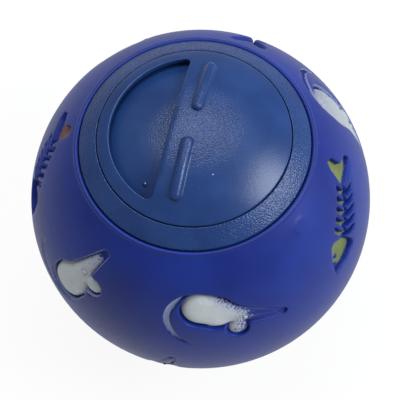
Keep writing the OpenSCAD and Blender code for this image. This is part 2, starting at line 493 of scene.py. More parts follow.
class Lathe(SweepTree):
    """Turns an outline of radii and heights round the axis of the ball."""

    path_r = 20.0

    def __init__(self, segments: int = 192) -> None:
        """Builds the tree.

        Args:
            segments: faces in one round.
        """
        super().__init__("turned_outline", {"Segments": "NodeSocketInt", "Path radius": "NodeSocketFloat"})
        self.segments = segments
        outline = self.bench.add("GeometryNodeMeshToCurve", inputs={"Mesh": self.given("Geometry")})
        path = self.bench.add(
            "GeometryNodeCurvePrimitiveCircle",
            {"mode": "RADIUS"},
            {"Resolution": self.given("Segments"), "Radius": self.given("Path radius")},
        )
        self.close(
            self.bench.add("GeometryNodeCurveToMesh", inputs={"Curve": path, "Profile Curve": outline})
        )

    def ring(self, radius: float, height: float) -> np.ndarray:
        """Points of one round at a radius and height."""
        return np.column_stack([radius * circle(self.segments), np.full(self.segments, height)])

    def turn(self, outline: np.ndarray, finish: bpy.types.Material, closed: bool = False) -> bpy.types.Mesh:
        """Turns one outline.

        Args:
            outline: (radius, height) rows in millimetres.
            finish: material of the faces.
            closed: joins the last point to the first.
        Returns:
            The turned mesh.
        """
        flat = np.column_stack([outline[:, 0] - self.path_r, -outline[:, 1]]) * MM
        values = {
            "Segments": self.segments,
            "Path radius": self.path_r * MM,
            "Finish": finish,
            "Closed": closed,
        }
        return self.make(flat, values)


class GripSweep(SweepTree):
    """Sweeps the round section of a grip over the dome of the dial, once for each grip."""

    def __init__(self) -> None:
        """Builds the tree."""
        sizes = ("Dome radius", "Start angle", "Sweep angle", "End round")
        kinds = {name: "NodeSocketFloat" for name in sizes}
        super().__init__("dial_grips", {**kinds, "Grips": "NodeSocketInt", "Steps": "NodeSocketInt"})
        add = self.bench.add
        outline = add("GeometryNodeMeshToCurve", inputs={"Mesh": self.given("Geometry")})
        arc = add(
            "GeometryNodeCurveArc",
            {"mode": "RADIUS"},
            {
                "Resolution": self.given("Steps"),
                "Radius": self.given("Dome radius"),
                "Start Angle": self.given("Start angle"),
                "Sweep Angle": self.given("Sweep angle"),
            },
        )
        along = add("GeometryNodeSplineParameter", output="Length")
        whole = self.given("Sweep angle") * self.given("Dome radius")
        inset = along.math("MINIMUM", along, whole - along) / self.given("End round")
        short = (1.0 - inset).larger(0.0)
        width = (1.0 - short * short).larger(0.0) ** 0.5
        bar = add(
            "GeometryNodeCurveToMesh",
            inputs={"Curve": arc, "Profile Curve": outline, "Scale": width},
        )
        upright = (0.0, -math.pi / 2.0, 0.0)
        standing = add("GeometryNodeTransform", inputs={"Geometry": bar, "Rotation": upright})
        spots = add("GeometryNodePoints", inputs={"Count": self.given("Grips")})
        share = add("GeometryNodeInputIndex") * 2.0 * math.pi / self.given("Grips")
        facing = add("ShaderNodeCombineXYZ", inputs={"Z": share})
        turned = add("FunctionNodeEulerToRotation", inputs={0: facing})
        self.close(
            add(
                "GeometryNodeInstanceOnPoints",
                inputs={"Points": spots, "Instance": standing, "Rotation": turned},
            )
        )


def rounded(corners: Sequence[tuple[float, float, float]], steps: int = 6) -> np.ndarray:
    """Rounds the corners of an open outline.

    Args:
        corners: (radius, height, round) rows; a round of 0 keeps the corner.
        steps: segments in each round.
    Returns:
        The outline's points, one (radius, height) row each.
    """
    points = [np.array(c[:2]) for c in corners]
    out = []
    for i, (corner, (_, _, size)) in enumerate(zip(points, corners)):
        if size == 0.0 or i in (0, len(points) - 1):
            out.append(corner)
            continue
        back, ahead = points[i - 1] - corner, points[i + 1] - corner
        reach = 0.49 * min(np.linalg.norm(back), np.linalg.norm(ahead))
        back, ahead = back / np.linalg.norm(back), ahead / np.linalg.norm(ahead)
        half = math.acos(np.clip(back @ ahead, -1.0, 1.0)) / 2.0
        cut = min(size / math.tan(half), reach)
        size = cut * math.tan(half)
        middle = corner + (back + ahead) / np.linalg.norm(back + ahead) * size / math.sin(half)
        start, stop = corner + back * cut - middle, corner + ahead * cut - middle
        first = math.atan2(start[1], start[0])
        sweep = math.atan2(stop[1], stop[0]) - first
        sweep = (sweep + math.pi) % (2.0 * math.pi) - math.pi
        for k in range(steps + 1):
            angle = first + sweep * k / steps
            out.append(middle + size * np.array([math.cos(angle), math.sin(angle)]))
    return np.array(out)


def height_on(sphere_r: float, radius: Union[float, np.ndarray]) -> Union[float, np.ndarray]:
    """Height of a sphere's surface at a distance from its axis."""
    return np.sqrt(sphere_r**2 - radius**2)


def circle(count: int) -> np.ndarray:
    """Points round a unit circle, one (x, y) row each."""
    turns = np.arange(count) * 2.0 * math.pi / count
    return np.column_stack([np.cos(turns), np.sin(turns)])


def ramp(value: np.ndarray, start: Values, stop: Values) -> np.ndarray:
    """Straight rise from 0 at start to 1 at stop, which may be the lower of the two."""
    return np.clip((value - start) / (stop - start), 0.0, 1.0)


def lattice(count: int) -> np.ndarray:
    """Evenly spread directions.

    Args:
        count: how many over the whole sphere.
    Returns:
        Unit vectors, one row each.
    """
    step = np.arange(count) + 0.5
    height = 1.0 - 2.0 * step / count
    angle = step * math.pi * (3.0 - math.sqrt(5.0))
    flat = np.sqrt(1.0 - height**2)
    return np.column_stack([flat * np.cos(angle), flat * np.sin(angle), height])


class SurfaceBench:
    """Collects points, closed loops and faces in millimetres for one mesh."""

    def __init__(self) -> None:
        """Starts with nothing."""
        self.points: list[np.ndarray] = []
        self.faces: list[tuple[int, ...]] = []
        self.count = 0

    def add(self, points: np.ndarray) -> np.ndarray:
        """Adds points and returns their numbers.

        Args:
            points: (x, y, z) rows.
        Returns:
            One number each.
        """
        numbers = np.arange(self.count, self.count + len(points))
        self.points.append(points)
        self.count += len(points)
        return numbers

    def bridge(self, loops: Sequence[np.ndarray]) -> None:
        """Joins loops of equal count by bands of quads.

        Args:
            loops: numbers of each loop's points.
        """
        for near, far in zip(loops, loops[1:]):
            ring = zip(near, np.roll(near, -1), np.roll(far, -1), far)
            self.faces.extend(tuple(int(i) for i in quad) for quad in ring)

    def fill(
        self,
        loops: Sequence[np.ndarray],
        loose: np.ndarray,
        flat: np.ndarray,
        hole: Optional[np.ndarray] = None,
    ) -> None:
        """Fills the inside of loops with triangles.

        Args:
            loops: numbers of the points along each closed loop, all kept as edges.
            loose: numbers of the points between them.
            flat: a flat map of the used points, loops first and in order.
            hole: numbers of the loop whose inside stays open.
        """
        used = np.concatenate([*loops, loose])
        edges, start = [], 0
        for loop in loops:
            count = len(loop)
            edges += [(start + i, start + (i + 1) % count) for i in range(count)]
            start += count
        flat_points = [Vector(p) for p in flat.tolist()]
        _, _, faces, origin, _, _ = delaunay_2d_cdt(flat_points, edges, [], 1, 1e-7, True)
        barred = set() if hole is None else set(hole.tolist())
        for face in faces:
            numbers = tuple(int(used[origin[i][0]]) for i in face)
            if not barred.issuperset(numbers):
                self.faces.append(numbers)

    def mesh(self, name: str) -> bpy.types.Mesh:
        """Makes a mesh in metres of everything collected.

        Args:
            name: name of the mesh.
        Returns:
            The mesh.
        """
        mesh = bpy.data.meshes.new(name)
        mesh.from_pydata((np.concatenate(self.points) * MM).tolist(), [], self.faces)
        return mesh


def joined(name: str, meshes: Sequence[bpy.types.Mesh], finish: bpy.types.Material) -> bpy.types.Object:
    """Joins meshes into one smooth object at the origin.

    Args:
        name: the object's name.
        meshes: meshes in metres whose shared edges have the same points.
        finish: the object's material.
    Returns:
        The object.
    """
    work = bmesh.new()
    for mesh in meshes:
        work.from_mesh(mesh)
        bpy.data.meshes.remove(mesh)
    bmesh.ops.remove_doubles(work, verts=work.verts, dist=0.002 * MM)
    bmesh.ops.dissolve_degenerate(work, edges=work.edges, dist=0.001 * MM)
    bmesh.ops.recalc_face_normals(work, faces=work.faces)
    for face in work.faces:
        face.smooth = True
        face.material_index = 0
    whole = bpy.data.meshes.new(name)
    work.to_mesh(whole)
    work.free()
    whole.materials.clear()
    whole.materials.append(finish)
    piece = bpy.data.objects.new(name, whole)
    bpy.context.scene.collection.objects.link(piece)
    return piece


def attach(piece: bpy.types.Object, body: str, node: str) -> None:
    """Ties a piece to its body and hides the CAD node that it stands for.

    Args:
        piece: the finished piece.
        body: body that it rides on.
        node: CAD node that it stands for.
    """
    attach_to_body(piece, body)
    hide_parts(node)
    LOG.info("%s: %d faces, rides on %s", piece.name, len(piece.data.polygons), body)


@dataclass(frozen=True)
class LidSizes:
    """Sizes of the mouth, ring, dial and baffle in millimetres, from the middle of the ball."""

    ball_r: float
    flange_r: float
    ring_r: float
    baffle_r: float
    flange_bottom: float
    baffle_top: float
    baffle_bottom: float
    neck_bottom: float
    sink: float = 0.2
    turn_gap: float = 0.2
    lift_gap: float = 0.15
    dial_flange: float = 0.95
    flange_t: float = 1.2
    dial_wall: float = 1.4
    skirt_wall: float = 1.4
    ring_edge: float = 2.0
    ring_flange: float = 1.25
    ring_snap: float = 0.6
    seat_gap: float = 0.15
    mouth_flange: float = 1.6
    snap_room: float = 0.8
    baffle_wall: float = 1.4
    baffle_rim_t: float = 1.6
    baffle_rim_w: float = 3.4
    baffle_gap: float = 0.1
    baffle_snap: float = 0.4
    opening_r: float = 17.4
    opening_chord: float = 4.6
    opening_corner: float = 1.2
    # Steps of the opening's outline: its round side, a corner and its straight side
    opening_steps: tuple[int, int, int] = (96, 14, 34)

    @classmethod
    def from_frame(cls) -> "LidSizes":
        """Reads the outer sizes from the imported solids.

        Returns:
            The sizes.
        """

        def reach(node: str) -> float:
            """Outer radius of a round node."""
            return round(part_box(node)[1].x / MM, 3)

        def level(node: str, end: int) -> float:
            """Lowest or highest height of a node."""
            return round(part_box(node)[end].z / MM, 3)

        return cls(
            ball_r=-level("ball_shell", 0),
            flange_r=reach("dial"),
            ring_r=reach("port_ring"),
            baffle_r=reach("baffle"),
            flange_bottom=level("dial", 0),
            baffle_top=level("baffle", 1),
            baffle_bottom=level("baffle", 0),
            neck_bottom=level("port_ring", 0),
        )

    @property
    def lid_r(self) -> float:
        """Radius of the dome that ring and dial share."""
        return self.ball_r - self.sink

    @property
    def dial_r(self) -> float:
        """Visible radius of the dial."""
        return self.flange_r - self.dial_flange

    @property
    def neck_out(self) -> float:
        """Outer radius of the ring's neck."""
        return self.ring_r - self.ring_flange

    @property
    def seat_z(self) -> float:
        """Height of the seat that the ring lies on."""
        return height_on(self.lid_r, self.ring_r) - self.ring_edge

    @property
    def mouth_under(self) -> float:
        """Underside of the flange round the mouth."""
        return self.seat_z - self.mouth_flange

    @property
    def step_z(self) -> float:
        """Top of the baffle's rim."""
        return self.baffle_bottom + self.baffle_rim_t


def half_moon(sizes: LidSizes, grow: float, side: float) -> np.ndarray:
    """Outline of the half-moon opening.

    Args:
        sizes: sizes of the lid.
        grow: distance outside the opening's edge in millimetres.
        side: 1 for an opening on the +X side, -1 on the -X side.
    Returns:
        Points of the outline, one (x, y) row each.
    """
    corner = sizes.opening_corner + grow
    reach = sizes.opening_r + grow
    x = sizes.opening_chord - grow + corner
    y = math.sqrt((reach - corner) ** 2 - x * x)
    turn = math.atan2(y, x)
    arc, bend, straight = sizes.opening_steps
    runs = [
        (0.0, 0.0, reach, -turn, turn, arc),
        (x, y, corner, turn, math.pi, bend),
        (x, -y, corner, math.pi, 2.0 * math.pi - turn, bend),
    ]
    rows = []
    for cx, cy, size, first, last, steps in runs:
        angles = np.linspace(first, last, steps + 1)[: -1 if cy == 0.0 else None]
        rows.append(np.column_stack([cx + size * np.cos(angles), cy + size * np.sin(angles)]))
    chord = np.linspace(rows[1][-1], rows[2][0], straight)[1:-1]
    outline = np.concatenate([rows[0], rows[1], chord, rows[2][:-1]])
    return outline * side


@dataclass(frozen=True)
class PiercedDome:
    """A thin dome with the half-moon opening, as the dial and the baffle have."""

    sizes: LidSizes
    lathe: Lathe
    sphere_r: float
    wall: float
    side: float
    top_round: float
    under_round: float = 0.15
    soft: float = 0.0
    soft_run: float = 3.5
    soft_power: float = 2.5
    spread: int = 9000
    clear: float = 0.4

    def level(self, flat: np.ndarray, depth: Values) -> np.ndarray:
        """Lays flat points on the dome.

        Args:
            flat: (x, y) rows.
            depth: distance below the outer surface.
        Returns:
            The points in space.
        """
        radius = np.hypot(flat[:, 0], flat[:, 1])
        return np.column_stack([flat, height_on(self.sphere_r - depth, radius)])

    def roll(self, y: np.ndarray) -> np.ndarray:
        """Share of the soft roll along the straight side of the opening.

        Args:
            y: places along that side.
        Returns:
            0 at its ends, up to 1 at its middle.
        """
        x = self.sizes.opening_chord + self.sizes.opening_corner
        half = math.sqrt((self.sizes.opening_r - self.sizes.opening_corner) ** 2 - x**2)
        return ramp(np.abs(y), half, half - self.soft_run) ** 2 * (self.soft > 0.0)

    def edge(self, grow: float, depth: float) -> tuple[np.ndarray, np.ndarray]:
        """One line round the opening's wall.

        Args:
            grow: distance outside the opening's edge.
            depth: distance below the outer surface.
        Returns:
            The flat points, and the depth of each with the soft roll of the straight side.
        """
        flat = half_moon(self.sizes, grow, self.side)
        straight = np.abs(flat[:, 0] * self.side - self.sizes.opening_chord + grow) < 0.01
        roll = np.where(straight, self.roll(flat[:, 1]), 0.0)
        low = self.wall - self.under_round
        if depth > low:
            return flat, np.full(len(flat), depth)
        share = grow / self.top_round if depth < self.top_round else 0.0
        flat[:, 0] -= self.side * self.soft * roll * share
        sunk = low * (1.0 - (1.0 - depth / low) ** self.soft_power)
        return flat, depth + (sunk - depth) * roll

    def skin(self, work: SurfaceBench, depth: float, rim_r: float, edge: np.ndarray, grow: float) -> None:
        """Fills one side of the dome between its rim and the opening.

        Args:
            work: bench that takes the faces.
            depth: distance of this side below the outer surface.
            rim_r: radius of the rim.
            edge: numbers of the opening's outermost loop on this side.
            grow: distance of that loop outside the opening.
        """
        rim = self.lathe.ring(rim_r, 0.0)[:, :2]
        rim_points = work.add(self.level(rim, depth))
        spots = lattice(self.spread)
        spots = spots[spots[:, 2] > 0.0][:, :2] * self.sphere_r
        outline = self.edge(grow, depth)[0]
        near = np.linalg.norm(spots[:, None] - outline[None], axis=2).min(1)
        chord = self.sizes.opening_chord - grow
        if depth == 0.0:
            chord = chord - self.soft * self.roll(spots[:, 1])
        outside = np.hypot(*spots.T) > self.sizes.opening_r + grow
        outside |= spots[:, 0] * self.side < chord
        keep = (np.hypot(*spots.T) < rim_r - self.clear) & (near > self.clear) & outside
        loose = work.add(self.level(spots[keep], depth))
        flat = np.concatenate([rim, outline, spots[keep]])
        work.fill([rim_points, edge], loose, flat, hole=edge)

    def build(self, name: str, rim_r: float, under_r: float) -> bpy.types.Mesh:
        """Makes the dome with its opening's walls.

        Args:
            name: name of the mesh.
            rim_r: radius at which the outer side ends.
            under_r: radius at which the inner side ends.
        Returns:
            The mesh.
        """
        work = SurfaceBench()
        turns = np.linspace(0.0, math.pi / 2.0, 7)
        top, under = self.top_round, self.under_round
        low = self.wall - under
        rows = [(top * (1 - math.sin(a)), top * (1 - math.cos(a))) for a in turns]
        rows += [(0.0, d) for d in np.linspace(top, low, 4)[1:-1]]
        rows += [(under * (1 - math.cos(a)), low + under * math.sin(a)) for a in turns]
        loops = [work.add(self.level(*self.edge(e, d))) for e, d in rows]
        work.bridge(loops)
        self.skin(work, 0.0, rim_r, loops[0], rows[0][0])
        self.skin(work, self.wall, under_r, loops[-1], rows[-1][0])
        return work.mesh(name)


@dataclass
class PortRing:
    """Hard ring in the mouth of the ball, with the neck that holds dial and baffle."""

    sizes: LidSizes
    lathe: Lathe
    finish: GrainedPlastic = field(default_factory=lambda: GrainedPlastic("ring_plastic"))
    lip_round: float = 0.22
    rim_round: float = 0.4
    snap_slope: float = 1.6
    snap_land: float = 0.3
    crown_steps: int = 9
    crown_in: float = 0.5
    crown_out: float = 0.7
    edge_round: float = 0.15
    end_round: float = 0.12
    seat_round: float = 0.1
    tight_round: float = 0.05
    slope_round: float = 0.2

    def build(self) -> bpy.types.Object:
        """Turns the ring and dresses it.

        Returns:
            The finished piece.
        """
        s = self.sizes
        lip_r = s.dial_r + s.turn_gap
        neck_in = s.flange_r + s.turn_gap
        bore = s.baffle_r + s.baffle_gap
        lip_z = s.flange_bottom + s.flange_t + s.lift_gap
        crown_r = np.linspace(lip_r + self.crown_in, s.ring_r - self.crown_out, self.crown_steps)
        crown = [(r, height_on(s.lid_r, r), 0.0) for r in crown_r]
        start = (lip_r, (lip_z + height_on(s.lid_r, lip_r)) / 2.0, 0.0)
        snap_in = s.baffle_bottom - self.snap_land
        snap_out = s.mouth_under - self.snap_land
        corners = [
            start,
            (lip_r, height_on(s.lid_r, lip_r), self.lip_round),
            *crown,
            (s.ring_r, height_on(s.lid_r, s.ring_r), self.rim_round),
            (s.ring_r, s.seat_z, self.edge_round),
            (s.neck_out, s.seat_z, self.seat_round),
            (s.neck_out, s.mouth_under, self.tight_round),
            (s.neck_out + s.ring_snap, s.mouth_under, self.edge_round),
            (s.neck_out + s.ring_snap, snap_out, self.edge_round),
            (s.neck_out, snap_out - self.snap_slope * s.ring_snap, self.slope_round),
            (s.neck_out, s.neck_bottom, self.end_round),
            (bore, s.neck_bottom, self.end_round),
            (bore, snap_in - self.snap_slope * s.baffle_snap, self.edge_round),
            (bore - s.baffle_snap, snap_in, self.seat_round),
            (bore - s.baffle_snap, s.baffle_bottom, self.seat_round),
            (bore, s.baffle_bottom, self.tight_round),
            (bore, s.step_z, self.tight_round),
            (neck_in, s.step_z, self.seat_round),
            (neck_in, lip_z, self.edge_round),
            (lip_r, lip_z, self.end_round),
            start,
        ]
        finish = self.finish.material()
        turned = self.lathe.turn(rounded(corners)[:-1], finish, closed=True)
        piece = joined("snap_ring", [turned], finish)
        attach(piece, "ball", "port_ring")
        return piece


@dataclass
class Baffle:
    """Fixed dome under the dial, open on the +X side."""

    sizes: LidSizes
    lathe: Lathe
    # Its bright spot, at the top of the gate nub, is a painted glint
    finish: GrainedPlastic = field(
        default_factory=lambda: GrainedPlastic.on_dome("baffle_plastic", 10.0, (-6.83, -12.87, 32.54))
    )
    nub: tuple[float, float] = (-6.95, -13.0)
    nub_r: float = 0.5
    nub_h: float = 0.4
    nub_sides: int = 20
    nub_steps: int = 7
    nub_sweep: float = 1.4
    nub_root: float = 0.5
    opening_round: float = 0.25
    rim_round: float = 0.2
    foot_round: float = 0.1
    dome_margin: float = 0.28
    under_margin: float = 0.35

    def nub_mesh(self, dome: PiercedDome) -> bpy.types.Mesh:
        """Makes the small gate mark that stands on the dome.

        Args:
            dome: the dome under it.
        Returns:
            A closed cap sunk into the dome.
        """
        work = SurfaceBench()
        foot = dome.level(np.array([self.nub]), 0.0)[0]
        out = Vector(foot).normalized()
        side = out.orthogonal().normalized()
        axes = np.array([side, out.cross(side), out])
        turns = np.linspace(0.0, self.nub_sweep, self.nub_steps)
        rows = [(1.0, -self.nub_root), *((math.cos(a), math.sin(a)) for a in turns)]
        loops = []
        for wide, high in rows:
            level = np.full(self.nub_sides, high * self.nub_h)
            line = np.column_stack([circle(self.nub_sides) * wide * self.nub_r, level])
            loops.append(work.add(foot + line @ axes))
        work.bridge(loops)
        work.faces += [tuple(loops[0].tolist()), tuple(loops[-1].tolist())]
        return work.mesh("gate_nub")

    def build(self) -> bpy.types.Object:
        """Makes the dome and its rim and dresses them.

        Returns:
            The finished piece.
        """
        s = self.sizes
        sphere_r = s.baffle_top
        rim_in = min(s.baffle_r - s.baffle_rim_w, s.dial_r - s.skirt_wall - s.turn_gap)
        dome_end = rim_in - self.dome_margin
        under_end = s.opening_r + self.under_margin
        under_top = height_on(sphere_r - s.baffle_wall, under_end)
        dome = PiercedDome(s, self.lathe, sphere_r, s.baffle_wall, 1.0, self.opening_round)
        finish = self.finish.material()
        corners = [
            (dome_end, height_on(sphere_r, dome_end), 0.0),
            (rim_in, height_on(sphere_r, rim_in), self.rim_round),
            (rim_in, s.step_z, self.rim_round),
            (s.baffle_r, s.step_z, self.rim_round),
            (s.baffle_r, s.baffle_bottom, self.rim_round),
            (under_end, s.baffle_bottom, self.foot_round),
            (under_end, under_top, 0.0),
        ]
        meshes = [
            dome.build("baffle_dome", dome_end, under_end),
            self.lathe.turn(rounded(corners), finish),
            self.nub_mesh(dome),
        ]
        piece = joined("baffle_dome", meshes, finish)
        attach(piece, "ball", "baffle")
        return piece


@dataclass
class Dial:
    """Turning dome with its half-moon opening on the -X side and two grips."""

    sizes: LidSizes
    lathe: Lathe
    # Its bright spot is a dust speck
    finish: GrainedPlastic = field(
        default_factory=lambda: GrainedPlastic.on_dome("dial_plastic", 12.0, (6.41, -9.33, 35.54))
    )
    rim_round: float = 0.35
    neck_round: float = 0.15
    flange_round: float = 0.2
    skirt_round: float = 0.25
    under_round: float = 0.5
    top_margin: float = 1.0
    under_margin: float = 0.6
    opening_round: float = 0.3
    opening_soft: float = 1.1
    grip_r: float = 1.2
    grip_h: float = 1.1
    grip_start: float = 3.0
    grip_l: float = 12.8
    grip_fillet: float = 0.4
    grip_root: float = 0.3
    grips: int = 2
    grip_steps: int = 160
    crest_steps: int = 25
    fillet_steps: int = 7

    def grip_outline(self) -> np.ndarray:
        """Section of a grip: (height above the dome, distance from its middle line) rows.

        Returns:
            The rows in metres.
        """
        middle = self.grip_h - self.grip_r
        foot = math.sqrt((self.grip_r + self.grip_fillet) ** 2 - (self.grip_fillet - middle) ** 2)
        lean = math.atan2(self.grip_fillet - middle, foot)
        crest = np.linspace(lean, math.pi - lean, self.crest_steps)
        curve = np.linspace(-math.pi / 2.0, -math.pi + lean, self.fillet_steps)[:-1]
        side = np.column_stack([
            self.grip_fillet * (1.0 + np.sin(curve)),
            foot + self.grip_fillet * np.cos(curve),
        ])
        top = np.column_stack([middle + self.grip_r * np.sin(crest), self.grip_r * np.cos(crest)])
        root = np.array([[-self.grip_root, foot]])
        flip = [1.0, -1.0]
        return np.concatenate([root, side, top, side[::-1] * flip, root * flip]) * MM

    def grip_mesh(self, finish: bpy.types.Material) -> bpy.types.Mesh:
        """Sweeps the grips over the dome.

        Args:
            finish: material of the faces.
        Returns:
            One mesh of all the grips.
        """
        dome = self.sizes.lid_r
        first = math.asin(self.grip_start / dome)
        last = math.asin((self.grip_start + self.grip_l) / dome)
        values = {
            "Dome radius": dome * MM,
            "Start angle": first,
            "Sweep angle": last - first,
            "End round": self.grip_r * MM,
            "Grips": self.grips,
            "Steps": self.grip_steps,
            "Finish": finish,
            "Closed": True,
        }
        return GripSweep().make(self.grip_outline(), values)

    def build(self) -> bpy.types.Object:
        """Makes the dome, rim and grips and dresses them.

        Returns:
            The finished piece.
        """
        s = self.sizes
        finish = self.finish.material()
        skirt_in = s.dial_r - s.skirt_wall
        top_end, under_end = s.dial_r - self.top_margin, skirt_in - self.under_margin
        under = s.lid_r - s.dial_wall
        flange_top = s.flange_bottom + s.flange_t
        corners = [
            (top_end, height_on(s.lid_r, top_end), 0.0),
            (s.dial_r, height_on(s.lid_r, s.dial_r), self.rim_round),
            (s.dial_r, flange_top, self.neck_round),
            (s.flange_r, flange_top, self.flange_round),
            (s.flange_r, s.flange_bottom, self.flange_round),
            (skirt_in, s.flange_bottom, self.skirt_round),
            (skirt_in, height_on(under, skirt_in), self.under_round),
            (under_end, height_on(under, under_end), 0.0),
        ]
        dome = PiercedDome(
            s, self.lathe, s.lid_r, s.dial_wall, -1.0, self.opening_round, soft=self.opening_soft
        )
        meshes = [
            dome.build("dial_dome", top_end, under_end),
            self.lathe.turn(rounded(corners), finish),
            self.grip_mesh(finish),
        ]
        piece = joined("turning_dial", meshes, finish)
        attach(piece, "dial", "dial")
        return piece


class FigureKind(Enum):
    """Figures moulded into the ball, with the colour of their painted floors."""

    MOUSE = (0.49, 0.515, 0.53)
    YELLOW_FISH = (0.15, 0.18, 0.056)
    ORANGE_FISH = (0.19, 0.095, 0.075)


@dataclass(frozen=True)
class Figure:
    """One moulded figure: its kind, its place on the ball in degrees and the spread of its paint."""

    kind: FigureKind
    azimuth: float
    latitude: float
    turn: float
    tail_side: int = 1
    ear_side: int = 1
    # Paint of a mouse: where along it the paint thins and ends, its lean and its direction
    fade_start: float = 5.8
    fade_end: float = 12.0
    fade_lean: float = 2.1
    fade_way: int = 1
    # Shares: light line on the rim (overspray and painted highlight), depth, paint, painted shade that
    # darkens the paint, and paint on a tail and on bones
    rim_spray_and_highlight: float = 0.0
    depth_share: float = 1.0
    paint: float = 1.0
    shade: float = 1.0
    tail_cover: float = 0.8
    bone_cover: float = 0.6

    def axes(self) -> np.ndarray:
        """Directions along the figure, across it and out of the ball, one row each.

        Returns:
            The three directions.
        """
        around, up, turn = (math.radians(a) for a in (self.azimuth, self.latitude, self.turn))
        out = np.array([math.cos(up) * math.cos(around), math.cos(up) * math.sin(around), math.sin(up)])
        east = np.array([-math.sin(around), math.cos(around), 0.0])
        north = np.cross(out, east)
        along = east * math.cos(turn) + north * math.sin(turn)
        return np.stack([along, np.cross(out, along) * self.ear_side, out])


@dataclass
class Relief:
    """Signed distance from the edge of a flat figure, on a grid in millimetres."""

    low: tuple[float, float]
    high: tuple[float, float]
    step: float = 0.1
    far: float = 99.0

    def __post_init__(self) -> None:
        """Lays out the grid."""
        self.x = np.arange(self.low[0], self.high[0] + self.step / 2.0, self.step)
        self.y = np.arange(self.low[1], self.high[1] + self.step / 2.0, self.step)
        self.spot = np.stack(np.meshgrid(self.x, self.y, indexing="ij"), axis=-1)
        self.depth = np.full(self.spot.shape[:2], self.far)

    def disc(self, x: float, y: float, radius: float) -> np.ndarray:
        """Distance from a disc."""
        return np.hypot(self.spot[..., 0] - x, self.spot[..., 1] - y) - radius

    def taper(self, x1: float, r1: float, x2: float, r2: float) -> np.ndarray:
        """Distance from the tapered bar between two discs on the X axis.

        Args:
            x1: middle of the first disc.
            r1: its radius.
            x2: middle of the second disc.
            r2: its radius.
        Returns:
            The distance at each spot of the grid.
        """
        span = x2 - x1
        lean = (r1 - r2) / span
        px, py = self.spot[..., 0] - x1, np.abs(self.spot[..., 1])
        along = px * math.sqrt(1.0 - lean**2) - py * lean
        across = px * lean + py * math.sqrt(1.0 - lean**2)
        reach = span * math.sqrt(1.0 - lean**2)
        middle = across - r1
        far = np.hypot(px - span, py) - r2
        return np.where(along < 0.0, np.hypot(px, py) - r1, np.where(along > reach, far, middle))

    def outline(self, points: np.ndarray) -> np.ndarray:
        """Distance from a closed outline of straight sides.

        Args:
            points: its corners, one (x, y) row each.
        Returns:
            The distance at each spot, below 0 inside.
        """
        best = np.full(self.spot.shape[:2], 1e9)
        inside = np.zeros(self.spot.shape[:2], bool)
        px, py = self.spot[..., 0], self.spot[..., 1]
        for (ax, ay), (bx, by) in zip(points, np.roll(points, -1, axis=0)):
            ex, ey = bx - ax, by - ay
            share = np.clip(((px - ax) * ex + (py - ay) * ey) / max(ex * ex + ey * ey, 1e-12), 0.0, 1.0)
            best = np.minimum(best, np.hypot(px - ax - share * ex, py - ay - share * ey))
            if ay != by:
                crossing = ax + (py - ay) / (by - ay) * ex
                inside ^= ((ay > py) != (by > py)) & (px < crossing)
        return np.where(inside, -best, best)

    @staticmethod
    def blend(first: np.ndarray, second: np.ndarray, size: float) -> np.ndarray:
        """Union of two shapes with a soft joint."""
        share = np.clip(0.5 + 0.5 * (second - first) / size, 0.0, 1.0)
        return second * (1.0 - share) + first * share - size * share * (1.0 - share)

    def soften(self, spread: float) -> None:
        """Rounds every corner of the figure.

        Args:
            spread: width of the blur in millimetres.
        """
        reach = int(3.0 * spread / self.step)
        kernel = np.exp(-0.5 * (np.arange(-reach, reach + 1) * self.step / spread) ** 2)
        kernel /= kernel.sum()
        wide = np.pad(self.depth, reach, mode="edge")
        for axis in (0, 1):
            wide = np.apply_along_axis(np.convolve, axis, wide, kernel, "valid")
        self.depth = wide

    def at(self, flat: np.ndarray) -> np.ndarray:
        """Distance at points; far away outside the grid.

        Args:
            flat: (x, y) rows.
        Returns:
            One distance each.
        """
        column = np.floor((flat[:, 0] - self.x[0]) / self.step).astype(int)
        row = np.floor((flat[:, 1] - self.y[0]) / self.step).astype(int)
        inside = (column >= 0) & (column < len(self.x)) & (row >= 0) & (row < len(self.y))
        found = np.full(len(flat), self.far)
        found[inside] = self.depth[column[inside], row[inside]]
        return found

    def crossing(self, level: float, key: tuple[int, int, int]) -> tuple[float, float]:
        """Point where the level crosses one edge of the grid.

        Args:
            level: the distance that is traced.
            key: column and row where the edge starts, and 1 for an upright edge.
        Returns:
            The point.
        """
        i, j, upright = key
        near = self.depth[i, j] - level
        far = self.depth[i + 1 - upright, j + upright] - level
        share = near / (near - far) * self.step
        return self.x[i] + share * (1 - upright), self.y[j] + share * upright

    def contours(self, level: float) -> list[np.ndarray]:
        """Closed lines along which the distance has one value.

        Args:
            level: that value.
        Returns:
            The lines, each with one (x, y) row per point.
        """
        low = self.depth < level
        links: dict[tuple[int, int, int], list[tuple[int, int, int]]] = {}
        cells = low[:-1, :-1] + 2 * low[1:, :-1] + 4 * low[1:, 1:] + 8 * low[:-1, 1:]
        for i, j in np.argwhere((cells > 0) & (cells < 15)).tolist():
            edges = [(i, j, 0), (i + 1, j, 1), (i, j + 1, 0), (i, j, 1)]
            corners = [bool(cells[i, j] >> k & 1) for k in range(4)]
            cut = [edges[k] for k in range(4) if corners[k] != corners[(k + 1) % 4]]
            if len(cut) == 4 and corners[0]:
                cut = [cut[3], cut[0], cut[1], cut[2]]
            for one, other in zip(cut[::2], cut[1::2]):
                links.setdefault(one, []).append(other)
                links.setdefault(other, []).append(one)
        lines, seen = [], set()
        for start in links:
            line = []
            spot: Optional[tuple[int, int, int]] = start
            while spot is not None and spot not in seen:
                seen.add(spot)
                line.append(self.crossing(level, spot))
                spot = next((n for n in links[spot] if n not in seen), None)
            if len(line) > 4:
                lines.append(np.array(line))
        return lines


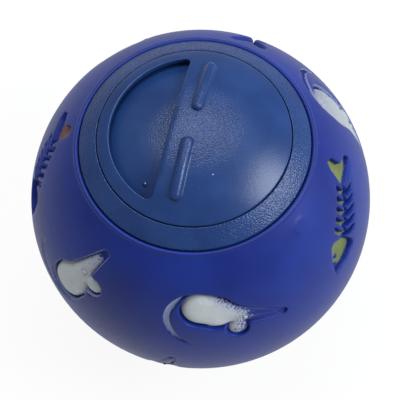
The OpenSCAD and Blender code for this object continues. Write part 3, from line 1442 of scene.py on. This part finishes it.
def respaced(line: np.ndarray, pitch: float) -> np.ndarray:
    """Spreads points evenly along a closed line.

    Args:
        line: (x, y) rows.
        pitch: wanted distance between points.
    Returns:
        The new points.
    """
    ring = np.vstack([line, line[:1]])
    run = np.r_[0.0, np.cumsum(np.hypot(*np.diff(ring, axis=0).T))]
    count = max(6, round(run[-1] / pitch))
    specks_scuffs_and_glint = np.arange(count) * run[-1] / count
    return np.column_stack([np.interp(specks_scuffs_and_glint, run, ring[:, 0]), np.interp(specks_scuffs_and_glint, run, ring[:, 1])])


@dataclass
class PaintedSketch:
    """Collects the points of the ball's outside, their places on the plain ball and their paint, with its
    painted rim highlights and painted shade.
    """

    radius: float
    work: SurfaceBench = field(default_factory=SurfaceBench)
    loops: list[np.ndarray] = field(default_factory=list)
    plain: list[np.ndarray] = field(default_factory=list)
    cover: list[np.ndarray] = field(default_factory=list)
    tint: list[np.ndarray] = field(default_factory=list)

    def take(self, points: np.ndarray, plain: np.ndarray, cover: Any = 0.0, tint: Any = 1.0) -> np.ndarray:
        """Adds points.

        Args:
            points: where they are.
            plain: where they would be on a ball without figures.
            cover: share of paint, one for all or one each.
            tint: colour of the paint, one for all or one each.
        Returns:
            Their numbers.
        """
        count = len(points)
        self.plain.append(plain)
        self.cover.append(np.broadcast_to(cover, count))
        self.tint.append(np.broadcast_to(tint, (count, 3)))
        return self.work.add(points)

    def loop(self, points: np.ndarray, plain: np.ndarray, cover: Any = 0.0, tint: Any = 1.0) -> None:
        """Adds points that keep a closed edge between them."""
        self.loops.append(self.take(points, plain, cover, tint))

    def mesh(self, name: str, loose: np.ndarray) -> bpy.types.Mesh:
        """Fills the loops and writes the paint, with its painted highlights and painted shade.

        Args:
            name: name of the mesh.
            loose: numbers of the points between the loops.
        Returns:
            The mesh, which ends at the first loop.
        """
        away = np.concatenate(self.plain) / self.radius
        self.work.fill(self.loops, loose, away[:, :2] / (1.0 - away[:, 2])[:, None])
        mesh = self.work.mesh(name)
        cover = mesh.attributes.new("paint_and_highlight_cover", "FLOAT", "POINT")
        cover.data.foreach_set("value", np.concatenate(self.cover))
        colours = np.column_stack([np.concatenate(self.tint), np.ones(self.work.count)])
        tint = mesh.attributes.new("paint_shade_and_highlight_tint", "FLOAT_COLOR", "POINT")
        tint.data.foreach_set("color", colours.ravel())
        return mesh


@dataclass
class BallShell:
    """Soft hollow ball with its moulded and painted figures and the lip of its mouth."""

    sizes: LidSizes
    lathe: Lathe
    finish: SoftVinyl = field(default_factory=SoftVinyl)
    wall: float = 3.2
    bowl_steps: int = 72
    lip_reach: float = 26.0
    lip_clear: float = 0.7
    lip_r: float = 0.8
    lip_h: float = 0.3
    lip_round: float = 0.5
    lip_shoulder: float = 0.5
    # Corners of the lip: share of its radius out from the seat, and rise above its top
    lip_corners: tuple[tuple[float, float], ...] = ((1.5, -0.75), (1.0, 0.05), (0.0, -0.2))
    seat_round: float = 0.15
    hole_round: float = 0.2
    figure_depth: float = 1.5
    figure_pitch: float = 0.4
    mouse_l: float = 22.7
    mouse_w: float = 9.0
    nose_d: float = 1.9
    nose_bare: float = 16.4
    ear_d: float = 4.8
    ear_x: float = 8.6
    ear_y: float = 4.0
    eye_x: float = 9.4
    eye_y: float = 0.65
    belly_x: float = 3.6
    belly_y: float = 1.2
    belly_d: float = 6.9
    chest_x: float = 2.4
    chest_share: float = 0.99
    neck_x: float = 2.0
    neck_r: float = 3.5
    tail_d: float = 14.7
    tail_w: float = 1.5
    tail_y: float = 2.7
    tail_open: float = 8.0
    tail_thin: float = 0.62
    mouse_soft: float = 0.12
    # Soft joints of a mouse: its neck, belly, ear and tail
    mouse_blends: tuple[float, ...] = (1.6, 0.8, 0.5, 0.3)
    fish_l: float = 24.6
    fish_w: float = 8.2
    fish_head: float = 7.0
    fish_fin: float = 6.0
    fish_bone: float = 1.1
    fish_ribs: int = 5
    fish_soft: float = 0.15
    # Ribs in shares of their pitch: first gap, slant, and room at the fin; then their taper per rib
    rib_start: float = 0.35
    rib_slant: float = 0.7
    rib_end: float = 0.4
    rib_taper: float = 0.06
    # Cheek of a fish: shares of its head's length and of the fish's width
    cheek: tuple[float, float] = (0.36, 0.3)
    # Tail fin of a fish: shares of its length and of the fish's width
    fin_corners: tuple[tuple[float, float], ...] = ((0.35, 0.44), (0.1, 0.5), (0.0, 0.32), (0.25, 0.0))
    upper_row: float = 27.3
    spread: int = 9000
    # Room that the points between lines keep from walls, eyes, raised bodies and the mould mark
    wall_clear: float = 0.3
    eye_clear: float = 0.35
    body_clear: float = 0.2
    mark_clear: float = 0.5
    # Wall of a figure: distance outside its edge and share of its full depth
    wall_steps: tuple[tuple[float, float], ...] = (
        (0.46, 0.0),
        (0.3, 0.02),
        (0.17, 0.08),
        (0.06, 0.21),
        (-0.03, 0.45),
        (-0.11, 0.74),
        (-0.19, 0.93),
        (-0.3, 1.0),
    )
    # Depth of a mouse's groove along its length, and of its tail
    mouse_depths: tuple[tuple[float, float], ...] = ((4.0, 1.5), (8.5, 1.0), (15.0, 0.65))
    tail_depth: float = 0.9
    # A mouse's tail starts between two places along it, and outside its rear
    tail_from: float = 4.0
    tail_full: float = 2.0
    tail_off: float = 0.1
    tail_run: float = 0.7
    # Edges of a mouse's paint: beside its body, beside its tail, inside the curl and at the snout
    body_edge: float = -0.3
    body_edge_run: float = 0.15
    tail_edge: float = 0.33
    curl_share: float = 0.8
    curl_run: float = 0.2
    nose_run: float = 0.8
    lean_from: float = 0.5
    # Edges of a fish's paint: inside its wall, round its eye, at its bones and at its snout
    fish_edge: tuple[float, float] = (-0.08, -0.28)
    fish_eye_bare: tuple[float, float] = (0.45, 0.75)
    bone_run: float = 0.6
    snout_share: float = 0.76
    snout_run: float = 0.3
    # Light line along a mouse's rim, partly overspray and partly painted highlight of the lit rim: its
    # middle and reach from the edge, its colour, and the colour of the tail
    rim_at: float = 0.05
    rim_reach: float = 0.17
    rim_spray_and_highlight_tint: Colour = (0.2, 0.235, 0.4)
    tail_tint: Colour = (0.4, 0.47, 0.68)
    # Raised body of a mouse inside its groove
    groove: float = 0.42
    body_rise: float = 2.2
    body_sink: float = 0.12
    body_insets: tuple[float, ...] = (0.0, 0.14)
    body_spread: int = 90000
    foot_pitch: float = 0.3
    # Eye: least paint on its dome, and radius and height above the surface round it
    eye_cover: float = 0.7
    eye_sides: int = 18
    eye_steps: tuple[tuple[float, float], ...] = (
        (0.76, 0.0),
        (0.66, -0.16),
        (0.56, -0.1),
        (0.38, 0.16),
        (0.2, 0.24),
    )
    # Faint round mould mark beside the lip: radius and height above the ball
    mould_steps: tuple[tuple[float, float], ...] = (
        (2.1, 0.0),
        (1.97, 0.03),
        (1.8, 0.08),
        (1.3, 0.08),
        (0.7, 0.08),
    )
    mould_sides: int = 40
    mould_azimuth: float = -24.9
    mould_latitude: float = 41.9

    def figures(self) -> list[Figure]:
        """Both rows of figures, with their places round the ball.

        Returns:
            The figures, the upper row first.
        """
        up, down = self.upper_row, -self.upper_row
        mouse, yellow, orange = FigureKind.MOUSE, FigureKind.YELLOW_FISH, FigureKind.ORANGE_FISH
        return [
            Figure(mouse, -74.5, up + 0.2, -14.0, fade_start=4.4, fade_end=13.0),
            Figure(yellow, -7.2, up - 0.5, -142.0),
            Figure(
                mouse,
                39.0,
                up + 6.5,
                240.3,
                ear_side=-1,
                fade_start=-8.0,
                fade_end=20.0,
                fade_lean=0.0,
                fade_way=-1,
                rim_spray_and_highlight=0.8,
                # A darker copy of the white paint: painted shade on this mouse
                shade=0.72,
                tail_cover=0.0,
            ),
            Figure(yellow, 82.0, up - 3.0, -85.0, depth_share=0.85),
            Figure(mouse, 133.0, up, -15.0),
            Figure(orange, 192.5, up - 0.7, -56.0, bone_cover=0.3),
            Figure(
                mouse,
                -127.5,
                up - 13.8,
                69.2,
                tail_side=-1,
                fade_start=6.0,
                fade_end=24.0,
                fade_lean=0.2,
                rim_spray_and_highlight=0.9,
            ),
            Figure(mouse, -95.4, down + 0.7, 68.0, paint=0.0),
            Figure(orange, -38.0, down + 2.0, 25.0),
            Figure(mouse, 20.0, down, 15.0, -1),
            Figure(yellow, 78.0, down, -20.0),
            Figure(mouse, 138.0, down, -15.0),
            Figure(orange, 200.0, down, 30.0),
        ]

    def eye(self, kind: FigureKind) -> np.ndarray:
        """Place of the eye on a flat figure.

        Args:
            kind: kind of the figure.
        Returns:
            The (x, y) place.
        """
        if kind is FigureKind.MOUSE:
            return np.array([self.eye_x, -self.eye_y])
        return np.array([(self.fish_l - self.fish_head) / 2.0, 0.0])

    def mouse(self, tail_side: int) -> tuple[Relief, Relief]:
        """Draws a mouse about the middle of its body.

        Args:
            tail_side: side that the tail curls to.
        Returns:
            The flat figure, and the body that is raised inside its groove.
        """
        flat = Relief((-12.0, -14.0), (21.0, 14.0))
        rear, nose = self.mouse_w / 2.0, self.nose_d / 2.0
        nose_x = self.mouse_l - rear - nose
        at_neck, at_belly, at_ear, at_tail = self.mouse_blends
        trunk = flat.taper(0.0, rear, self.chest_x, self.chest_share * rear)
        shape = flat.blend(trunk, flat.taper(self.neck_x, self.neck_r, nose_x, nose), at_neck)
        shape = flat.blend(shape, flat.disc(self.belly_x, -self.belly_y, self.belly_d / 2.0), at_belly)
        shape = flat.blend(shape, flat.disc(self.ear_x, -self.ear_y, self.ear_d / 2.0), at_ear)
        shift, open_to = self.tail_w / self.tail_thin, math.radians(self.tail_open)
        middle_y = -tail_side * self.tail_y
        hollow = flat.disc(
            shift * math.cos(open_to),
            middle_y + tail_side * shift * math.sin(open_to),
            self.tail_d / 2.0 + shift - self.tail_w,
        )
        tail = np.maximum(flat.disc(0.0, middle_y, self.tail_d / 2.0), -hollow)
        flat.depth = flat.blend(shape, tail, at_tail)
        flat.soften(self.mouse_soft)
        body = Relief(flat.low, flat.high)
        body.depth = np.maximum(shape + self.groove, -body.disc(nose_x, 0.0, nose))
        body.soften(self.mouse_soft)
        drawn = [respaced(line, self.foot_pitch) for line in body.contours(0.0)]
        body.depth = np.minimum.reduce([body.outline(line) for line in drawn])
        return flat, body

    def fish(self) -> Relief:
        """Draws a fish's bones about their middle.

        Returns:
            The flat figure.
        """
        flat = Relief((-15.0, -6.5), (15.0, 6.5))
        length, width, bone = self.fish_l, self.fish_w, self.fish_bone
        gill, fin_root = length / 2.0 - self.fish_head, self.fish_fin - length / 2.0
        pitch = (gill - fin_root) / (self.fish_ribs + self.rib_end)
        slant = self.rib_slant * pitch
        side = [
            (length / 2.0, 0.0),
            (length / 2.0 - self.cheek[0] * self.fish_head, self.cheek[1] * width),
            (gill + bone, width / 2.0),
            (gill, width / 2.0 - bone / 2.0),
        ]
        for rib in range(1, self.fish_ribs + 1):
            x = gill - (rib - self.rib_start) * pitch + bone / 2.0
            reach = width / 2.0 * (1.0 - self.rib_taper * rib)
            side += [(x, bone / 2.0), (x - slant, reach), (x - slant - bone, reach), (x - bone, bone / 2.0)]
        fin, end = self.fish_fin, -length / 2.0
        side += [(fin_root, bone / 2.0), *((a * fin + end, b * width) for a, b in self.fin_corners)]
        half = np.array(side)
        flat.depth = flat.outline(np.concatenate([half, half[-2:0:-1] * [1.0, -1.0]]))
        flat.soften(self.fish_soft)
        return flat

    def on_tail(self, flat: np.ndarray) -> np.ndarray:
        """Share by which points of a mouse belong to its tail.

        Args:
            flat: (x, y) rows.
        Returns:
            Values from 0 to 1.
        """
        start = self.mouse_w / 2.0 + self.tail_off
        behind = ramp(flat[:, 0], self.tail_from, self.tail_full)
        return behind * ramp(np.hypot(*flat.T), start, start + self.tail_run)

    def floor_depth(self, kind: FigureKind, flat: np.ndarray) -> np.ndarray:
        """Depth of a figure's floor or groove, which gets less along a mouse's head and tail.

        Args:
            kind: kind of the figure.
            flat: (x, y) rows.
        Returns:
            One depth each.
        """
        if kind is not FigureKind.MOUSE:
            return np.full(len(flat), self.figure_depth)
        along, deep = zip(*self.mouse_depths)
        tail = self.on_tail(flat)
        return np.interp(flat[:, 0], along, deep) * (1.0 - tail) + self.tail_depth * tail

    def body_depth(self, flat: np.ndarray, inset: np.ndarray) -> np.ndarray:
        """Depth of a mouse's raised body at distances inside its foot.

        Args:
            flat: (x, y) rows.
            inset: distance of each point inside the foot of the body.
        Returns:
            One depth each.
        """
        run = ramp(inset, 0.0, self.body_rise)
        floor = self.floor_depth(FigureKind.MOUSE, flat)
        return floor - (floor - self.body_sink) * np.sqrt(1.0 - (1.0 - run) ** 2)

    def sunk(self, flat: np.ndarray, depth: Values, axes: np.ndarray) -> np.ndarray:
        """Lays flat points of a figure on the ball.

        Args:
            flat: (x, y) rows.
            depth: distance below the ball's surface.
            axes: the figure's directions.
        Returns:
            The points in space.
        """
        out = np.sqrt((self.sizes.ball_r - depth) ** 2 - (flat**2).sum(1))
        return np.column_stack([flat, out]) @ axes

    def cover(self, figure: Figure, flat: np.ndarray, distance: np.ndarray) -> np.ndarray:
        """Share of paint at points of a figure.

        Args:
            figure: the figure.
            flat: (x, y) rows.
            distance: distance of each point from the figure's edge.
        Returns:
            Values from 0 to 1.
        """
        x, y = flat.T
        if figure.kind is not FigureKind.MOUSE:
            away = np.linalg.norm(flat - self.eye(figure.kind), axis=1)
            gill, fin_root = self.fish_l / 2.0 - self.fish_head, self.fish_fin - self.fish_l / 2.0
            tip = gill + self.snout_share * self.fish_head
            floor = figure.paint * ramp(distance, *self.fish_edge)
            bones = ramp(x, fin_root, fin_root + self.bone_run) * ramp(x, gill, gill - self.bone_run)
            bare = ramp(x, tip, tip - self.snout_run) * ramp(away, *self.fish_eye_bare)
            return floor * bare * (1.0 - bones * (1.0 - figure.bone_cover))
        tail = self.on_tail(flat)
        edge, inner = self.tail_edge * tail + self.body_edge, self.curl_share * self.tail_w
        inward = self.tail_d / 2.0 - np.hypot(x, y + figure.tail_side * self.tail_y)
        floor = figure.paint * ramp(distance, edge, edge - self.body_edge_run)
        floor *= 1.0 - tail * ramp(inward, inner, inner + self.curl_run)
        along = figure.fade_way * x + figure.fade_lean * np.maximum(y - self.lean_from, 0.0)
        fade = 1.0 - ramp(along, figure.fade_start, figure.fade_end)
        bare = ramp(x, self.nose_bare, self.nose_bare - self.nose_run)
        # rim: a light line along the edge, partly overspray and partly painted highlight
        rim = ramp(np.abs(distance - self.rim_at), self.rim_reach, self.rim_reach / 3.0)
        painted = floor * bare * fade * (1.0 - tail * (1.0 - figure.tail_cover))
        return np.maximum(figure.rim_spray_and_highlight * rim, painted)

    def tint(self, figure: Figure, flat: np.ndarray) -> np.ndarray:
        """Colour of the paint at points of a figure, paler and bluer on a mouse's tail, and darkened by the
        figure's painted shade.

        Args:
            figure: the figure.
            flat: (x, y) rows.
        Returns:
            One colour each.
        """
        tail = self.on_tail(flat) * (figure.kind is FigureKind.MOUSE)
        return figure.shade * (np.outer(1.0 - tail, figure.kind.value) + np.outer(tail, self.tail_tint))

    def drawn(self, relief: Relief, level: float) -> list[np.ndarray]:
        """Evenly spaced lines along one level of a flat figure."""
        return [respaced(line, self.figure_pitch) for line in relief.contours(level)]

    def draw_figures(
        self,
        sketch: PaintedSketch,
        reliefs: dict[tuple[FigureKind, int], Relief],
        bodies: dict[int, Relief],
    ) -> None:
        """Adds the walls of every figure, the feet of the raised bodies and the eyes.

        Args:
            sketch: sketch of the ball's outside.
            reliefs: flat figures by kind and side of the tail.
            bodies: raised bodies of the mice by side of the tail.
        """
        lines = {
            key: [(edge, share, self.drawn(relief, edge)) for edge, share in self.wall_steps]
            for key, relief in reliefs.items()
        }
        feet = {
            side: [(inset, self.drawn(body, -inset)) for inset in self.body_insets]
            for side, body in bodies.items()
        }
        iris = circle(self.eye_sides)
        for figure in self.figures():
            axes = figure.axes()
            raised = figure.kind is FigureKind.MOUSE
            for edge, share, drawn in lines[(figure.kind, figure.tail_side)]:
                # Loops on the rim take its light colour: overspray and painted highlight
                on_rim = figure.rim_spray_and_highlight > 0.0 and abs(edge - self.rim_at) < self.rim_reach
                for line in drawn:
                    cover = self.cover(figure, line, np.full(len(line), edge))
                    deep = figure.depth_share * self.floor_depth(figure.kind, line)
                    points = self.sunk(line, share * deep, axes)
                    tint = self.rim_spray_and_highlight_tint if on_rim else self.tint(figure, line)
                    sketch.loop(points, self.sunk(line, 0.0, axes), cover, tint)
            for inset, drawn in feet[figure.tail_side] if raised else ():
                for line in drawn:
                    insets = np.full(len(line), inset)
                    cover = self.cover(figure, line, -insets - self.groove)
                    points = self.sunk(line, self.body_depth(line, insets), axes)
                    sketch.loop(points, self.sunk(line, 0.0, axes), cover, self.tint(figure, line))
            for size, height in self.eye_steps:
                line = self.eye(figure.kind) + iris * size
                cover = self.cover(figure, line, np.full(len(line), -1.0))
                floor = figure.depth_share * self.floor_depth(figure.kind, line)
                if raised:
                    floor = self.body_depth(line, -bodies[figure.tail_side].at(line))
                    cover = np.maximum(cover, figure.paint * self.eye_cover * (height > 0.0))
                points = self.sunk(line, floor - height, axes)
                sketch.loop(points, self.sunk(line, 0.0, axes), cover, self.tint(figure, line))

    def body_points(self, sketch: PaintedSketch, bodies: dict[int, Relief]) -> list[np.ndarray]:
        """Adds the points on the raised bodies of the mice.

        Args:
            sketch: sketch of the ball's outside.
            bodies: raised bodies by side of the tail.
        Returns:
            The numbers of the points, one list for each mouse.
        """
        spots = lattice(self.body_spread) * self.sizes.ball_r
        numbers = []
        for figure in self.figures():
            if figure.kind is not FigureKind.MOUSE:
                continue
            axes = figure.axes()
            local = spots @ axes.T
            flat = local[:, :2]
            inset = -bodies[figure.tail_side].at(flat)
            from_eye = np.linalg.norm(flat - self.eye(figure.kind), axis=1)
            keep = (local[:, 2] > 0.0) & (inset > self.body_insets[-1] + self.body_clear)
            keep &= from_eye > self.eye_steps[0][0] + self.body_clear
            points = self.sunk(flat[keep], self.body_depth(flat[keep], inset[keep]), axes)
            cover = self.cover(figure, flat[keep], -inset[keep] - self.groove)
            numbers.append(sketch.take(points, spots[keep], cover, self.tint(figure, flat[keep])))
        return numbers

    def draw_mould_mark(self, sketch: PaintedSketch) -> np.ndarray:
        """Adds the faint round mark beside the lip.

        Args:
            sketch: sketch of the ball's outside.
        Returns:
            The middle of the mark on the ball.
        """
        axes = Figure(FigureKind.MOUSE, self.mould_azimuth, self.mould_latitude, 0.0).axes()
        for size, height in self.mould_steps:
            line = circle(self.mould_sides) * size
            sketch.loop(self.sunk(line, -height, axes), self.sunk(line, 0.0, axes))
        return axes[2] * self.sizes.ball_r

    def outer_mesh(self) -> bpy.types.Mesh:
        """Makes the outside of the ball with its figures and their paint.

        Returns:
            The mesh, open at the lip.
        """
        radius = self.sizes.ball_r
        mouse, yellow, orange = FigureKind.MOUSE, FigureKind.YELLOW_FISH, FigureKind.ORANGE_FISH
        reliefs = {(yellow, 1): self.fish()}
        reliefs[(orange, 1)] = reliefs[(yellow, 1)]
        bodies = {}
        for side in (1, -1):
            reliefs[(mouse, side)], bodies[side] = self.mouse(side)
        sketch = PaintedSketch(radius)
        lip = self.lathe.ring(self.lip_reach, height_on(radius, self.lip_reach))
        sketch.loop(lip, lip)
        self.draw_figures(sketch, reliefs, bodies)
        mark = self.draw_mould_mark(sketch)
        spots = lattice(self.spread)
        margin = self.lip_reach + self.lip_clear
        spots = spots[(spots[:, 2] < 0.0) | (np.hypot(*spots[:, :2].T) * radius > margin)] * radius
        spots = spots[np.linalg.norm(spots - mark, axis=1) > self.mould_steps[0][0] + self.mark_clear]
        nearest = np.full(len(spots), Relief.far)
        cover = np.zeros(len(spots))
        tint = np.ones((len(spots), 3))
        placed = spots.copy()
        for figure in self.figures():
            axes = figure.axes()
            local = spots @ axes.T
            flat = local[:, :2]
            distance = reliefs[(figure.kind, figure.tail_side)].at(flat)
            distance[local[:, 2] < 0.0] = Relief.far
            closer = distance < nearest
            nearest[closer] = distance[closer]
            inside = closer & (distance < self.wall_steps[-1][0])
            if figure.kind is mouse:
                nearest[inside] = 0.0
                continue
            placed[inside] = self.sunk(flat[inside], figure.depth_share * self.figure_depth, axes)
            cover[inside] = self.cover(figure, flat[inside], distance[inside])
            tint[inside] = self.tint(figure, flat[inside])
            from_eye = np.linalg.norm(flat - self.eye(figure.kind), axis=1)
            nearest[inside & (from_eye < self.eye_steps[0][0] + self.eye_clear)] = 0.0
        outside = nearest > self.wall_steps[0][0] + self.wall_clear
        keep = outside | (nearest < self.wall_steps[-1][0] - self.wall_clear)
        between = sketch.take(placed[keep], spots[keep], cover[keep], tint[keep])
        raised = self.body_points(sketch, bodies)
        return sketch.mesh("ball_outside", np.concatenate([between, *raised]))

    def mouth_outline(self) -> np.ndarray:
        """Outline of the lip, the seat, the flange and the inside of the ball.

        Returns:
            The outline, from the lip inwards.
        """
        s = self.sizes
        seat_r, hole_r = s.ring_r + s.seat_gap, s.neck_out + s.seat_gap
        relief_r = s.neck_out + s.ring_snap + s.snap_room
        lip_top = height_on(s.ball_r + self.lip_h, seat_r + self.lip_r)
        inner_r = s.ball_r - self.wall
        inner_top = height_on(inner_r, s.mouth_under)
        start = math.asin(inner_top / inner_r)
        turns = np.linspace(start, math.pi, self.bowl_steps)
        bowl = [(inner_r * math.sin(a), inner_r * math.cos(a), 0.0) for a in turns]
        bowl[-1] = (0.0, -inner_r, 0.0)
        shoulder_r = (self.lip_reach, self.lip_reach - self.lip_shoulder)
        shoulder = [(r, height_on(s.ball_r, r), 0.0) for r in shoulder_r]
        lip = [(seat_r + a * self.lip_r, lip_top + rise, self.lip_round) for a, rise in self.lip_corners]
        corners = [
            *shoulder,
            *lip,
            (seat_r, s.seat_z, self.seat_round),
            (hole_r, s.seat_z, self.hole_round),
            (hole_r, s.mouth_under, self.hole_round),
            (relief_r, s.mouth_under, 0.0),
            *bowl,
        ]
        return rounded(corners)

    def build(self) -> bpy.types.Object:
        """Makes the ball and dresses it.

        Returns:
            The finished piece.
        """
        finish = self.finish.material()
        meshes = [self.outer_mesh(), self.lathe.turn(self.mouth_outline(), finish)]
        piece = joined("painted_ball", meshes, finish)
        attach(piece, "ball", "ball_shell")
        return piece


@dataclass(frozen=True)
class Lamp:
    """A soft lamp: where it stands from the ball, its size in metres and its power in watts."""

    name: str
    towards: tuple[float, float, float]
    width: float
    depth: float
    power: float
    distance: float = 0.6
    tint: Colour = (0.92, 0.98, 1.0)

    def light(self) -> None:
        """Hangs the lamp, facing the ball."""
        data = bpy.data.lights.new(self.name, "AREA")
        data.shape = "RECTANGLE"
        data.size, data.size_y, data.energy = self.width, self.depth, self.power
        data.color = self.tint
        lamp = bpy.data.objects.new(self.name, data)
        way = Vector(self.towards).normalized()
        lamp.location = way * self.distance
        lamp.rotation_euler = way.to_track_quat("Z", "Y").to_euler()
        lamp.visible_camera = False
        bpy.context.scene.collection.objects.link(lamp)


@dataclass(frozen=True)
class Studio:
    """Pale floor, soft lamps and the camera at the photo's angle."""

    floor_z: float
    ball_r: float
    floor_colour: Colour = (0.86, 0.86, 0.86)
    floor_white: float = 0.92
    floor_half: float = 1.5
    ambient: float = 0.36
    azimuth: float = 19.43
    elevation: float = 65.74
    roll: float = -5.92
    distance: float = 353.9
    image: int = 400
    outline_px: float = 169.47
    middle_px: tuple[float, float] = (200.61, 199.04)
    sensor: float = 36.0
    lamps: tuple[Lamp, ...] = (
        Lamp("window", (-0.108, 0.355, 0.93), 0.5, 0.26, 2.6),
        Lamp("side_window", (0.77, 0.04, 0.635), 0.27, 0.27, 3.3),
    )

    @staticmethod
    def seen(bench: NodeBench) -> Signal:
        """1 for rays that show the background, directly or in gloss or glass.

        Args:
            bench: bench of the floor's material.
        Returns:
            The value.
        """
        ways = ("Is Camera Ray", "Is Glossy Ray", "Is Transmission Ray")
        camera, glossy, clear = (bench.add("ShaderNodeLightPath", output=way) for way in ways)
        return camera.larger(glossy).larger(clear)

    def floor(self) -> None:
        """Lays the floor that the ball rests on."""
        half = self.floor_half
        mesh = bpy.data.meshes.new("pale_floor")
        corners = [(-half, -half), (half, -half), (half, half), (-half, half)]
        mesh.from_pydata([(x, y, self.floor_z * MM) for x, y in corners], [], [(0, 1, 2, 3)])
        bench = PaintBench("pale_floor")
        matt = bench.add("ShaderNodeBsdfDiffuse", inputs={"Color": (*self.floor_colour, 1.0)})
        white = bench.add("ShaderNodeEmission", inputs={"Strength": 1.0})
        mixed = bench.add(
            "ShaderNodeMixShader", inputs={0: self.seen(bench) * self.floor_white, 1: matt, 2: white}
        )
        mesh.materials.append(bench.close(mixed))
        floor = bpy.data.objects.new("pale_floor", mesh)
        bpy.context.scene.collection.objects.link(floor)

    def sky(self) -> None:
        """Sets the even light from all round."""
        world = bpy.data.worlds.new("studio")
        bpy.context.scene.world = world
        world.use_nodes = True
        world.node_tree.nodes.clear()
        bench = NodeBench(world.node_tree)
        light = bench.add(
            "ShaderNodeBackground", inputs={"Color": (1.0, 1.0, 1.0, 1.0), "Strength": self.ambient}
        )
        bench.end("ShaderNodeOutputWorld", {"Surface": light})

    def camera(self) -> None:
        """Places the camera."""
        turn, rise = math.radians(self.azimuth), math.radians(self.elevation)
        way = Vector((math.sin(turn) * math.cos(rise), -math.cos(turn) * math.cos(rise), math.sin(rise)))
        data = bpy.data.cameras.new("photo_view")
        spread = self.ball_r / math.sqrt(self.distance**2 - self.ball_r**2)
        data.sensor_width = self.sensor
        data.lens = self.outline_px / spread * self.sensor / self.image
        data.shift_x = (self.image / 2.0 - self.middle_px[0]) / self.image
        data.shift_y = (self.middle_px[1] - self.image / 2.0) / self.image
        data.clip_start, data.clip_end = 0.01, 10.0
        camera = bpy.data.objects.new("photo_view", data)
        camera.location = way * self.distance * MM
        facing = (-way).to_track_quat("-Z", "Y") @ Quaternion((0.0, 0.0, 1.0), math.radians(self.roll))
        camera.rotation_euler = facing.to_euler()
        bpy.context.scene.collection.objects.link(camera)
        bpy.context.scene.camera = camera

    def build(self) -> None:
        """Sets up floor, light and camera."""
        bpy.context.scene.view_settings.view_transform = "Standard"
        self.floor()
        self.sky()
        for lamp in self.lamps:
            lamp.light()
        self.camera()


def main() -> None:
    """Builds every piece and the studio."""
    logging.basicConfig(level=logging.INFO, format="%(message)s")
    sizes = LidSizes.from_frame()
    lathe = Lathe()
    BallShell(sizes, lathe).build()
    PortRing(sizes, lathe).build()
    Baffle(sizes, lathe).build()
    Dial(sizes, lathe).build()
    Studio(-sizes.ball_r, sizes.ball_r).build()


if __name__ == "__main__":
    main()
